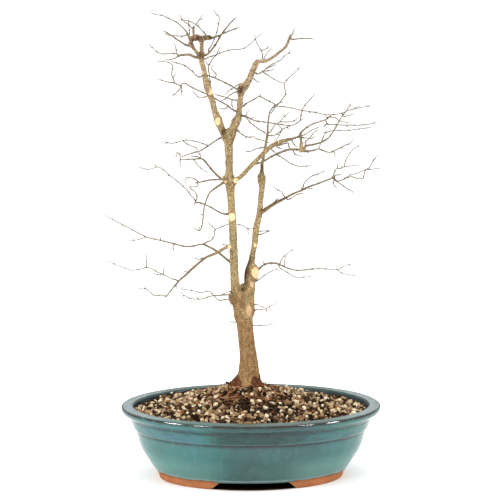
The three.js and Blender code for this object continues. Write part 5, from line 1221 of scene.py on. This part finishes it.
def trunk_radius_at(height):
    rows = np.array([(h + SHEET_FOOT, w / 2) for _, h, w in TRUNK])
    return np.interp(height, rows[:, 0], rows[:, 1])


def scattered(draw, spacing):
    """Spots on a loose honeycomb inside the pot's wall and outside the trunk."""
    jitter = spacing * GRAINS["jitter"]
    half_length = HALF_LENGTH - SOIL["wall"] - GRAINS["margin"]
    half_width = HALF_WIDTH - SOIL["wall"] - GRAINS["margin"]
    row_step = spacing * math.sin(math.pi / 3)
    rows = np.arange(-half_width, half_width + row_step, row_step)
    columns = np.arange(-half_length, half_length + spacing, spacing)
    y, x = np.meshgrid(rows, columns, indexing="ij")
    x = x + (np.arange(len(rows)) % 2)[:, None] * spacing / 2
    x = (x + draw.uniform(-jitter, jitter, x.shape)).ravel()
    y = (y + draw.uniform(-jitter, jitter, y.shape)).ravel()
    inside = (x / half_length) ** 2 + (y / half_width) ** 2 < 1
    from_trunk = np.hypot(x - TRUNK_FOOT[0], y - TRUNK_FOOT[1])
    outside = from_trunk > trunk_radius_at(mound(x, y)) - 1
    return x[inside & outside], y[inside & outside]


class SoilSettings(bpy.types.PropertyGroup):
    smallest: length_setting("Smallest grain", "Across", 0.0026, 0.0005)
    largest: length_setting("Largest grain", "Across", 0.0068, 0.001)
    spacing: length_setting("Spacing", "Between neighbouring grains of the top layer", 0.0047, 0.002)
    seed: number_setting("Seed", "Changes where the grains lie", 41)
    fibres: number_setting("Fibres", "Fine roots on the soil round the trunk", 66)
    dark: colour_setting("Dark grains", "Bark and wet fines", "#1b110b")
    tan: colour_setting("Tan grains", "Most of the grit", "#866f4f")
    pale: colour_setting("Pale grains", "Pumice", "#c4b08c")


class BONSAI_OT_soil(bpy.types.Operator):
    """Builds the soil: a dark bed, two layers of grit and the fine roots round the trunk"""

    bl_idname = "bonsai.soil"
    bl_label = "Soil"

    def execute(self, context):
        settings = context.scene.bonsai_soil
        draw = np.random.default_rng(settings.seed)
        self.make_bed(settings)
        grit = grain_finish(settings)
        low, high = settings.smallest / MM, settings.largest / MM
        spacing = settings.spacing / MM
        self.make_grains("grit_lower", draw, grit, spacing, (low, (low + high) * 0.5), **LOWER_GRIT)
        self.make_grains("grit_upper", draw, grit, spacing, (low * 1.05, high * 1.12), **UPPER_GRIT)
        self.make_fibres(settings, draw)
        return {"FINISHED"}

    def make_bed(self, settings):
        """The dark fines under the grit, with room for the meshes, the wires and the foot of the trunk."""
        steps = BED["steps"]
        rings = []
        for inset, height in reversed(BED_WALL):
            lift = GAP if inset == INNER_WALL[-1][0] else 0
            rings.append(oval(HALF_LENGTH, HALF_WIDTH, inset + GAP, height + lift, steps))
        edge = BED_WALL[0][0] + GAP
        rings[-1][:, 2] = SOIL["edge"] - BED["sunk"]
        for share in np.linspace(1, 0.02, BED["rings"])[1:]:
            ring = oval((HALF_LENGTH - edge) * share, (HALF_WIDTH - edge) * share, 0, 0, steps)
            ring[:, 2] = mound(ring[:, 0], ring[:, 1]) - BED["sunk"]
            rings.append(ring)
        bed = make_piece("soil_bed", *closed_shell(np.array(rings)))
        floor = INNER_WALL[-1][1] + GAP
        high = floor + DRAIN_MESH["thickness"] + GAP
        thick = 2 * DRAIN_WIRE["radius"]
        recess = DRAIN_MESH["side"] + 2 * GAP
        long, wide = 2 * (DRAIN_WIRE["leg"] + thick), 2 * thick
        for side in (-1, 1):
            x = side * DRAIN["offset"]
            take_away(bed, *box_shell((recess, recess, high - floor + 2), (x, 0, (high + floor) / 2 - 1)))
            take_away(bed, *box_shell((long, wide, wide), (x, 0, high + thick + GAP - wide / 2)))
        line = np.array([(x, SHEET_Y, h + SHEET_FOOT) for x, h, _ in TRUNK_IN_SOIL], float)
        radii = np.array([w / 2 + GAP for _, _, w in TRUNK_IN_SOIL])
        line[0, 2] -= GAP
        take_away(bed, *closed_shell(tube_rings(line, radii, TRUNK_SIDES, flare)))
        finish_piece(bed, "soil", ["soil"], humus_finish(settings))

    def make_grains(self, name, draw, material, spacing, sizes, apart, lift, tones):
        x, y = scattered(draw, spacing * apart)
        size = sizes[0] + (sizes[1] - sizes[0]) * draw.beta(*GRAINS["spread"], len(x))
        z = mound(x, y) + lift + draw.uniform(*GRAINS["height"], len(x))
        points, faces = chipped_grains(draw, np.column_stack([x, y, z]), size)
        clumps = np.array([noise.noise(Vector((a * 0.06, b * 0.06, lift))) for a, b in zip(x, y)])
        damp = smoothstep(0.0, 0.45, clumps) * DAMP["clumps"]
        damp = damp + hill(from_spot(x, y, *DAMP["spot"])) * DAMP["middle"]
        tone = draw.uniform(0, 1, len(x))
        darker = np.minimum(damp, DAMP["most"]) * (draw.uniform(0, 1, len(x)) < DAMP["share"])
        tone = np.where(tone * tones < DAMP["stays_light"], tone * tones * (1 - darker), tone)
        corners = len(points) // len(x)
        piece = make_piece(name, points, faces.tolist(), {"tone": np.repeat(tone, corners)})
        piece.data.set_sharp_from_angle(angle=math.radians(24))
        finish_piece(piece, "soil", ["soil"], material)

    def make_fibres(self, settings, draw):
        """Fine roots that lie on the grit, most of them in front of the trunk."""
        shells = Shells()
        steps = FIBRES["steps"]
        for number in range(settings.fibres):
            angle = draw.uniform(0, 2 * math.pi)
            if number % 3 == 0:
                angle = draw.normal(-math.pi / 2, 0.35)
            out = trunk_radius_at(FIBRES["height"]) + abs(draw.normal(0, FIBRES["reach"]))
            heading = angle + draw.normal(0, 0.8)
            at = np.array([TRUNK_FOOT[0] + out * math.cos(angle), TRUNK_FOOT[1] + out * math.sin(angle)])
            length, arch = draw.uniform(*FIBRES["length"]), draw.uniform(*FIBRES["arch"])
            line = []
            for share in np.linspace(0, 1, steps + 1):
                lift = FIBRES["lift"] + arch * math.sin(math.pi * share)
                line.append((at[0], at[1], float(mound(*at)) + lift))
                heading += draw.normal(0, FIBRES["bend"])
                at = at + length / steps * np.array([math.cos(heading), math.sin(heading)])
            line = corners_cut(line, 1)
            if (from_spot(line[:, 0], line[:, 1], *FIBRES["field"]) >= 1).any():
                continue
            radii = np.linspace(draw.uniform(*FIBRES["root_radius"]), FIBRES["tip_radius"], len(line))
            shells.tube(line, radii, 5)
        finish_piece(shells.piece("root_fibres"), "soil", [], fibre_finish())


# Tree
def place(x, height, depth):
    """From the sheet to its place in space, carried along the line of sight by its depth."""
    on_sheet = np.column_stack([x, np.full(len(x), float(SHEET_Y)), np.asarray(height) + SHEET_FOOT])
    reach = (SHEET_Y + np.asarray(depth) - EYE[1]) / (SHEET_Y - EYE[1])
    return EYE + (on_sheet - EYE) * reach[:, None]


def sheet_of(points):
    """Where points in space lie on the sheet, as x and height."""
    share = (SHEET_Y - EYE[1]) / (points[:, 1] - EYE[1])
    return EYE[0] + (points[:, 0] - EYE[0]) * share, EYE[2] + (points[:, 2] - EYE[2]) * share - SHEET_FOOT


def flare(angle, height):
    """The roots swell the foot of the trunk in low lobes."""
    fade = np.clip(np.minimum((FLARE["top"] - height) / 20, (height - FLARE["bottom"]) / 12), 0, 1)
    return 1 + FLARE["depth"] * fade * np.cos(FLARE["lobes"] * angle + FLARE["phase"])


def with_widths(points):
    """Columns x, height and width, with the widths between the points that give one."""
    given = [(i, p[2]) for i, p in enumerate(points) if len(p) > 2]
    widths = np.interp(range(len(points)), [i for i, _ in given], [w for _, w in given])
    return np.column_stack([[p[0] for p in points], [p[1] for p in points], widths])


def nearest_on(line, x, height):
    """The nearest spot of a line on the sheet: its x, height, depth and width, and how far off it is."""
    start, end = line[:-1], line[1:]
    step = end[:, :2] - start[:, :2]
    to = np.array([x, height]) - start[:, :2]
    share = np.clip((to * step).sum(1) / np.maximum((step * step).sum(1), 1e-9), 0, 1)
    spots = start + (end - start) * share[:, None]
    distances = np.hypot(spots[:, 0] - x, spots[:, 1] - height)
    best = int(distances.argmin())
    return spots[best], float(distances[best])


def grown_lines():
    """Each limb's smooth centre line as columns x, height, depth, width and run, and its bearer's width."""
    lines = {"trunk": smooth_line([(x, height, 0, width) for x, height, width in TRUNK], 1.5)}
    bearers = {}
    for number, (name, bearer, reach, drawn) in enumerate(LIMBS):
        points = with_widths(drawn)
        spot, distance = nearest_on(lines[bearer], points[0, 0], points[0, 1])
        if distance < 0.5 and len(points) > 2:
            points = points[1:]
        points = np.vstack([[spot[0], spot[1], points[0, 2]], points])
        steps = np.hypot(np.diff(points[:, 0]), np.diff(points[:, 1]))
        run = np.concatenate([[0], np.cumsum(steps)])
        sway = SWAY["width"] * np.minimum(1, run / SWAY["root_length"])
        sway = sway * np.sin(run / SWAY["length"] + number)
        depth = spot[2] + reach * run / run[-1] + sway
        depth[0] = spot[2]
        lines[name] = smooth_line(np.column_stack([points[:, 0], points[:, 1], depth, points[:, 2]]), 1.2)
        bearers[name] = spot[3]
    return lines, bearers


def wood_share(line):
    """How many rows from the limb's root on are wide enough to be fused into the wood."""
    wide = line[:, 3] >= WOOD_WIDTH
    return len(line) if wide.all() else int(np.argmin(wide))


def spaced(draw, length, low, high, first):
    """Distances along a limb, drawn between two spacings."""
    at, spots = first, []
    while at < length:
        spots.append(at)
        at += draw.uniform(low, high)
    return spots


def nearest_sample(points, samples):
    """For each point the row of the sample whose skin is nearest."""
    best = np.empty(len(points), int)
    block = 4000
    for start in range(0, len(points), block):
        away = points[start:start + block, None, :] - samples[None, :, :3]
        gaps = np.linalg.norm(away, axis=2) / samples[None, :, 3] ** 0.9
        best[start:start + block] = gaps.argmin(axis=1)
    return best


def lumps_at(x, y, z, octaves):
    """Fractal noise at each point."""
    return np.array([noise.fractal(Vector(row), 1.0, 2.0, octaves) for row in zip(x, y, z)])


class TreeSettings(bpy.types.PropertyGroup):
    voxel: length_setting(
        "Detail of the wood", "Size of the cells that fuse the thick limbs", 0.00076, 0.0004)
    bud: length_setting("Bud", "Length of a winter bud", 0.0015, 0.0003)
    internode: length_setting("Internode", "Between two pairs of buds", 0.0115, 0.003)
    seed: number_setting("Seed", "Changes the nodes and the bark", 7)
    tan: colour_setting("Stem bark", "Bark of the stems", "#7f6b49")
    brown: colour_setting("Trunk bark", "Bark of the lower trunk", "#80613f")
    twig: colour_setting("Twigs", "Bark of young twigs", "#695f4c")
    shoot: colour_setting("Shoots", "Reddish bark of last year's shoots", "#6b5f55")


class BONSAI_OT_tree(bpy.types.Operator):
    """Builds the trunk and the thick limbs as one fused piece of wood, and the twigs with their buds"""

    bl_idname = "bonsai.tree"
    bl_label = "Tree"

    def execute(self, context):
        settings = context.scene.bonsai_tree
        bark = bark_finish(settings)
        lines, bearers = grown_lines()
        wood, twigs = {"trunk": len(lines["trunk"])}, {}
        for name, bearer, _, _ in LIMBS:
            share = wood_share(lines[name]) if bearer in wood else 0
            if share > 4:
                wood[name] = share
            else:
                share = 0
            if share < len(lines[name]):
                twigs[name] = max(0, share - 3)
        self.make_wood(settings, lines, wood, bark)
        self.make_twigs(settings, lines, bearers, wood, twigs, bark)
        return {"FINISHED"}

    def make_wood(self, settings, lines, wood, bark):
        """Fuses the trunk, the thick limbs and the knots, and carves the bark."""
        shells = Shells()
        samples = []
        for number, (name, share) in enumerate(wood.items()):
            line = lines[name][:share]
            centres, radii = place(line[:, 0], line[:, 1], line[:, 2]), line[:, 3] / 2
            run, limb = line[:, 4], np.full(share, number)
            samples.append(np.column_stack([centres, radii, *frames_along(centres), run, limb]))
            sides, shape = (TRUNK_SIDES, flare) if name == "trunk" else (LIMB_SIDES, None)
            shells.tube(*round_ends(centres, radii), sides, shape)
        directions, faces = ball()
        for limb, x, height, radius in KNOTS:
            spot, _ = nearest_on(lines[limb], x, height)
            centre = place(np.array([x]), np.array([height]), np.array([spot[2]]))[0]
            lumps = [
                1 + 0.3 * noise.noise(Vector(way) * 1.7 + Vector((x, height, 0))) for way in directions
            ]
            shells.add(centre + directions * np.array(lumps)[:, None] * radius, faces.tolist())
        piece = shells.piece("tree_wood")
        reshape(piece, "REMESH", mode="VOXEL", voxel_size=settings.voxel, use_smooth_shade=True)
        self.carve(piece.data, np.vstack(samples), settings)
        finish_piece(piece, "bark", ["tree"], bark)

    def carve(self, mesh, samples, settings):
        """Smooths the fused wood and gives it ridges, node rings, scars and sunken places."""
        points = points_of(mesh)
        radius = samples[nearest_sample(points, samples), 3]
        strength = 0.5 * smoothstep(*SMOOTHED_RADII, radius) + 0.06
        points = relax(points, column_of(mesh.edges, "vertices", 2, np.int32), SMOOTHING_ROUNDS, strength)
        put_points(mesh, points)
        normals = column_of(mesh.vertex_normals, "vector").astype(float)
        nearest = samples[nearest_sample(points, samples)]
        centre, radius, along, across, third, run, limb = np.split(nearest, [3, 4, 7, 10, 13, 14], axis=1)
        radius, run, limb = radius[:, 0], run[:, 0], limb[:, 0]
        offset = points - centre
        angle = np.arctan2((offset * third).sum(1), (offset * across).sum(1))
        run = run + (offset * along).sum(1)
        x, height = sheet_of(points)
        front = smoothstep(-0.1, 0.35, (normals * unit(EYE - points)).sum(1))

        lift = self.ridges(angle, run, radius, limb) + self.rings(run, angle, limb, radius, settings)
        stain, scar, amber = np.zeros(len(points)), np.zeros(len(points)), np.zeros(len(points))
        for *where, sink, dark in STAINS_AND_SHADE:
            spot = hill(from_spot(x, height, *where) * 0.9) * front
            stain = np.maximum(stain, np.minimum(1, spot * 1.5) * dark)
            lift -= sink * spot
        for *where, high in GNARLS:
            spot = hill(from_spot(x, height, *where) * 0.9)
            near = spot > 0.03
            lumps = np.array([noise.fractal(Vector(p) * 0.42, 0.9, 2.1, 3) for p in points[near]])
            lift[near] += high * spot[near] * lumps
            # The hollows between the lumps are darkened: painted shade.
            hollow = smoothstep(0.05, -0.45, lumps) * spot[near] * min(1, high)
            stain[near] = np.maximum(stain[near], 0.8 * hollow)
        for where in AMBER:
            amber = np.maximum(amber, smoothstep(1.2, 0.5, from_spot(x, height, *where)) * front)
        for at_x, at_height, half_width, half_height, lean in SCARS:
            turn = math.radians(lean)
            dx, dh = x - at_x, height - at_height
            across = dx * math.cos(turn) + dh * math.sin(turn)
            up = dh * math.cos(turn) - dx * math.sin(turn)
            edge = from_spot(across, up, 0, 0, half_width, half_height)
            scar = np.maximum(scar, smoothstep(1.12, 0.78, edge) * front)
            thick = min(half_width, 4)
            callus = thick * 0.2 * hill((edge - 1.12) / 0.22) - thick * 0.16 * smoothstep(1.0, 0.5, edge)
            lift = lift * (1 - 0.8 * smoothstep(1.2, 0.9, edge) * front) + callus * front
        put_points(mesh, points + normals * lift[:, None])
        put_values(mesh, {
            "stain": stain, "scar": scar, "amber": amber,
            "rooty": self.root_bark(x, height, angle, normals, front),
            "young": smoothstep(4.6, 2.6, radius * 2) * (height > 230) * 0.85,
        })

    def root_bark(self, x, height, angle, normals, front):
        """Where the bark is as dark as a root's: low on the trunk, with a ragged edge."""
        top = ROOT_BARK["height"] + 15 * smoothstep(7, 13, np.abs(x + 1.2))
        top = top + 5 * smoothstep(0.2, 0.8, normals[:, 1])
        ragged = np.array([noise.noise(Vector((a, h * 0.2, 3))) for a, h in zip(angle * 4, height)]) * 5
        rooty = smoothstep(top + 2.5, top - 2.5, height + ragged)
        patch = from_spot(x, height + ragged * 0.4, *ROOT_BARK["patch"])
        return np.maximum(rooty, smoothstep(1.15, 0.85, patch) * front) * 0.95

    def ridges(self, angle, run, radius, limb):
        """Long low ridges of bark, higher on thicker wood, with fine cracks over them."""
        depth = RIDGES["least"] + RIDGES["growth"] * np.minimum(radius, RIDGES["widest"])
        x, y = np.cos(angle) * radius, np.sin(angle) * radius
        long = lumps_at(x * 0.34, y * 0.34, run * 0.045 + limb * 7, 3)
        short = lumps_at(x * 0.8, y * 0.8, run * 0.3 + limb * 5, 2)
        return depth * (long * 1.5 + short * 0.6)

    def rings(self, run, angle, limb, radius, settings):
        """Swollen rings where leaves once sat."""
        draw = np.random.default_rng(settings.seed)
        lift = np.zeros(len(run))
        for number in range(1, int(limb.max()) + 1):
            here = limb == number
            if not here.any():
                continue
            for at in spaced(draw, float(run[here].max()), *RINGS["apart"], RINGS["first"]):
                turned = angle[here] - draw.uniform(0, 2 * math.pi)
                high = draw.uniform(*RINGS["high"]) * np.clip(radius[here] / 4, 0.55, 1)
                ring = hill((run[here] - at - RINGS["lean"] * np.cos(turned)) / RINGS["length"])
                lift[here] += high * ring * (0.6 + 0.4 * np.cos(2 * turned))
        return lift

    def make_twigs(self, settings, lines, bearers, wood, twigs, bark):
        """Every limb's thin end, swollen at its root and nodes, with its buds and spurs."""
        draw = np.random.default_rng(settings.seed + 1)
        shells = Shells("young", "bud")
        spacing, bud = settings.internode / MM, settings.bud / MM
        for name, start in twigs.items():
            line = lines[name][start:]
            run, tip = line[:, 4], line[-1, 4]
            width = line[:, 3] * (0.82 + 0.14 * smoothstep(1.6, 3.4, line[:, 3]))
            if name not in wood:
                past = np.maximum(0, run - bearers[name] / 2)
                width = width * (1 + 0.7 * np.exp(-past / np.maximum(1.4 * width[0], 1.2)))
            width = width * (1 - TWIGS["tip_taper"] * smoothstep(tip - 14, tip, run))
            nodes = spaced(draw, tip - 3, spacing * 0.75, spacing * 1.35, run[0] + max(5, spacing * 0.6))
            for at in nodes:
                width = width * (1 + TWIGS["node_swell"] * hill((run - at) / TWIGS["node_length"]))
            keep = run <= tip - bud * 0.8
            centres = place(line[:, 0], line[:, 1], line[:, 2])
            radii = np.maximum(width, TWIGS["thinnest"]) / 2
            thick = float(width.max())
            sides = 7 if thick < 2.2 else 9 if thick < 3.5 else 12
            ends = round_ends(centres[keep], radii[keep])
            young = smoothstep(4.6, 2.4, ends[1] * 2)
            shells.tube(*ends, sides, young=np.concatenate([np.repeat(young, sides), young[[0, -1]]]))
            self.add_buds(shells, draw, centres, run, radii, nodes, bud)
            self.add_spurs(shells, draw, centres, run, radii, nodes)
        finish_piece(shells.piece("tree_twigs"), "bark", ["tree"], bark)

    def add_buds(self, shells, draw, centres, run, radii, nodes, bud):
        """Opposite pairs of buds at the nodes, each pair turned from the one before, and one at the tip."""
        along, across, third = frames_along(centres)
        turn = draw.uniform(0, math.pi)
        for number, at in enumerate(nodes):
            i = int(np.abs(run - at).argmin())
            if radii[i] > BUDS["widest"]:
                continue
            size = bud * draw.uniform(*BUDS["sizes"])
            angle = turn + number * math.pi / 2 + draw.normal(0, 0.2)
            for side in (0, math.pi):
                out = across[i] * math.cos(angle + side) + third[i] * math.sin(angle + side)
                base = centres[i] + out * radii[i] * 0.6
                self.add_bud(shells, base, unit(along[i] * 0.85 + out * 0.62), size, size * BUDS["slim"])
        base = centres[-1] - along[-1] * bud * 1.05
        self.add_bud(shells, base, along[-1], bud * 1.05, max(radii[-1] * 1.05, 0.36))

    def add_spurs(self, shells, draw, centres, run, radii, nodes):
        """Short crooked spurs at some of the nodes."""
        along, across, third = frames_along(centres)
        for at in nodes:
            if draw.uniform() > SPURS["share"]:
                continue
            i = int(np.abs(run - at).argmin())
            angle = draw.uniform(0, 2 * math.pi)
            out = across[i] * math.cos(angle) + third[i] * math.sin(angle)
            way = unit(along[i] * draw.uniform(0.2, 0.9) + out)
            bend = unit(way + out * draw.normal(0, 0.5) + along[i] * draw.uniform(0, 0.8))
            half = draw.uniform(*SPURS["length"]) * 0.5
            line = np.array([centres[i], centres[i] + way * half, centres[i] + (way + bend) * half])
            line = smooth_line(np.column_stack([line, np.full(3, 0.9)]), 0.9)[:, :3]
            radii_along = np.linspace(*SPURS["radii"], len(line)) + 0.1 * draw.uniform()
            shells.tube(*round_ends(line, radii_along), 6, young=1.0, bud=0.2)

    def add_bud(self, shells, base, way, length, radius):
        centres = base + way * (length * np.array(BUDS["steps"]))[:, None]
        shells.tube(centres, radius * np.array(BUDS["widths"]), 5, young=1.0, bud=0.5)


# Drain meshes and wires
class DrainSettings(bpy.types.PropertyGroup):
    netting: colour_setting("Netting", "Plastic mesh over the drain holes", "#22262a")
    wire: colour_setting("Wire", "Soft wire that holds the mesh", "#a5754a")


class BONSAI_OT_drains(bpy.types.Operator):
    """Builds the netting over each drain hole and the bent wire that holds it"""

    bl_idname = "bonsai.drains"
    bl_label = "Drains"

    def execute(self, context):
        settings = context.scene.bonsai_drains
        netting, wire = netting_finish(settings), wire_finish(settings)
        for word, side in (("left", -1), ("right", 1)):
            self.make_netting(word, side * DRAIN["offset"], netting)
            self.make_wire(word, side * DRAIN["offset"], wire)
        return {"FINISHED"}

    def make_netting(self, word, x, material):
        """Two layers of crossing strands that touch where they cross."""
        shells = Shells()
        radius = DRAIN_MESH["strand"] / 2
        reach = DRAIN_MESH["side"] / 2 - radius
        low = INNER_WALL[-1][1] + GAP + radius
        high = low + DRAIN_MESH["strand"] * 0.86
        for at in np.linspace(-reach, reach, DRAIN_MESH["strands"]):
            for line in (
                [(x - reach, at, low), (x, at, low), (x + reach, at, low)],
                [(x + at, -reach, high), (x + at, 0, high), (x + at, reach, high)],
            ):
                shells.tube(*round_ends(np.array(line, float), np.full(3, radius)), 8)
        finish_piece(shells.piece(f"netting_{word}"), "drain_mesh", [f"drain_mesh_{word}"], material)

    def make_wire(self, word, x, material):
        """A bow over the mesh, with its legs through the hole and turned out under the bowl."""
        radius = DRAIN_WIRE["radius"]
        high = INNER_WALL[-1][1] + GAP + DRAIN_MESH["thickness"] + GAP + radius
        low = OUTER_WALL[0][1] - GAP - radius
        leg, bend = DRAIN_WIRE["leg"], DRAIN_WIRE["bend"]
        half = [
            (leg + DRAIN_WIRE["foot"] - radius, low), (leg + bend, low), (leg, low), (leg, low + bend),
            (leg, high - bend), (leg, high), (leg - bend, high),
        ]
        path = [(x - across, 0, height) for across, height in half]
        path += [(x + across, 0, height) for across, height in reversed(half)]
        line = corners_cut(path, 3)
        shells = Shells()
        shells.tube(*round_ends(line, np.full(len(line), radius)), 14)
        finish_piece(shells.piece(f"wire_{word}"), "drain_wire", [f"drain_wire_{word}"], material)


# Stage
class StageSettings(bpy.types.PropertyGroup):
    floor: colour_setting("Floor", "Colour of the floor", (0.94, 0.94, 0.94))
    surround: FloatProperty(
        name="Surround", description="Strength of the white surround", default=1.0, min=0)
    lamps: FloatProperty(name="Lamps", description="Strength of the soft lamps", default=1.0, min=0)
    lens: FloatProperty(
        name="Lens", description="Focal length in millimetres", default=135, min=20)


class BONSAI_OT_stage(bpy.types.Operator):
    """Sets up the floor, the soft lamps, the white surround and the camera"""

    bl_idname = "bonsai.stage"
    bl_label = "Stage"

    def execute(self, context):
        settings = context.scene.bonsai_stage
        scene = context.scene
        scene.view_settings.view_transform = "Standard"
        corners = ((-1, -1), (1, -1), (1, 1), (-1, 1))
        points = [(FLOOR_REACH * x, FLOOR_REACH * y, 0) for x, y in corners]
        floor = make_piece("floor", points, [(0, 1, 2, 3)])
        floor.data.materials.append(floor_finish(settings))
        self.surround(scene, settings)
        for name, spot, size, watts in LAMPS:
            self.lamp(scene, name, spot, size, watts * settings.lamps)
        self.camera(scene, settings)
        return {"FINISHED"}

    def surround(self, scene, settings):
        """A pale dome: bright overhead, dim near the horizon at the front and the back. It looks white."""
        world = bpy.data.worlds.new("surround")
        world.use_nodes = True
        scene.world = world
        made = NodeTree(world.node_tree)
        direction = made.node("ShaderNodeTexCoord").outputs["Generated"]
        x, y, z = made.node("ShaderNodeSeparateXYZ", {"Vector": direction}).outputs
        high = made.math("MAXIMUM", z, 0.0)
        ahead = made.math("MAXIMUM", made.times(y, -1.0), 0.0)
        up, side = made.times(high, SURROUND["overhead"]), made.times(x, x, SURROUND["sides"])
        front = made.math("ADD", made.times(ahead, high, SURROUND["front"]), SURROUND["horizon"])
        light = made.times(made.math("ADD", made.math("ADD", up, side), front), settings.surround)
        shown = made.node("ShaderNodeMix", data_type="FLOAT")
        seen = made.node("ShaderNodeLightPath").outputs["Is Camera Ray"]
        for socket, value in ((0, seen), (2, light), (3, SURROUND["seen"])):
            made.put(shown.inputs[socket], value)
        background = world.node_tree.nodes["Background"]
        made.put(background.inputs["Color"], (1, 1, 1))
        made.put(background.inputs["Strength"], shown.outputs[0])

    def lamp(self, scene, name, spot, size, watts):
        light = bpy.data.lights.new(name, "AREA")
        light.shape = "RECTANGLE"
        light.size, light.size_y = size
        light.energy = watts
        made = bpy.data.objects.new(name, light)
        made.location = spot
        made.rotation_euler = (Vector(LAMPS_AIM) - Vector(spot)).to_track_quat("-Z", "Y").to_euler()
        if name.startswith("glint"):
            made.visible_diffuse = False
        scene.collection.objects.link(made)

    def camera(self, scene, settings):
        data = bpy.data.cameras.new("camera")
        data.lens = settings.lens
        data.sensor_width = 36
        data.clip_end = 1000
        made = bpy.data.objects.new("camera", data)
        made.location = Vector(EYE) * MM
        made.rotation_euler = (Vector(AIM) * MM - made.location).to_track_quat("-Z", "Y").to_euler()
        scene.collection.objects.link(made)
        scene.camera = made


class BONSAI_PT_panel(bpy.types.Panel):
    """The bonsai's pieces in the sidebar"""

    bl_idname = "BONSAI_PT_panel"
    bl_label = "Bonsai"
    bl_space_type = "VIEW_3D"
    bl_region_type = "UI"
    bl_category = "Bonsai"

    def draw(self, context):
        for operator, settings, _ in PIECES:
            box = self.layout.box()
            box.operator(operator.bl_idname)
            group = getattr(context.scene, settings)
            for name in group.bl_rna.properties.keys():
                if name not in ("name", "rna_type"):
                    box.prop(group, name)


PIECES = (
    (BONSAI_OT_stage, "bonsai_stage", StageSettings),
    (BONSAI_OT_pot, "bonsai_pot", PotSettings),
    (BONSAI_OT_soil, "bonsai_soil", SoilSettings),
    (BONSAI_OT_tree, "bonsai_tree", TreeSettings),
    (BONSAI_OT_drains, "bonsai_drains", DrainSettings),
)


def register():
    for operator, name, group in PIECES:
        bpy.utils.register_class(group)
        setattr(bpy.types.Scene, name, PointerProperty(type=group))
        bpy.utils.register_class(operator)
    bpy.utils.register_class(BONSAI_PT_panel)


def unregister():
    bpy.utils.unregister_class(BONSAI_PT_panel)
    for operator, name, group in reversed(PIECES):
        bpy.utils.unregister_class(operator)
        delattr(bpy.types.Scene, name)
        bpy.utils.unregister_class(group)


def main():
    register()
    bpy.ops.bonsai.stage()
    bpy.ops.bonsai.pot()
    bpy.ops.bonsai.soil()
    bpy.ops.bonsai.tree()
    bpy.ops.bonsai.drains()


if __name__ == "__main__":
    main()
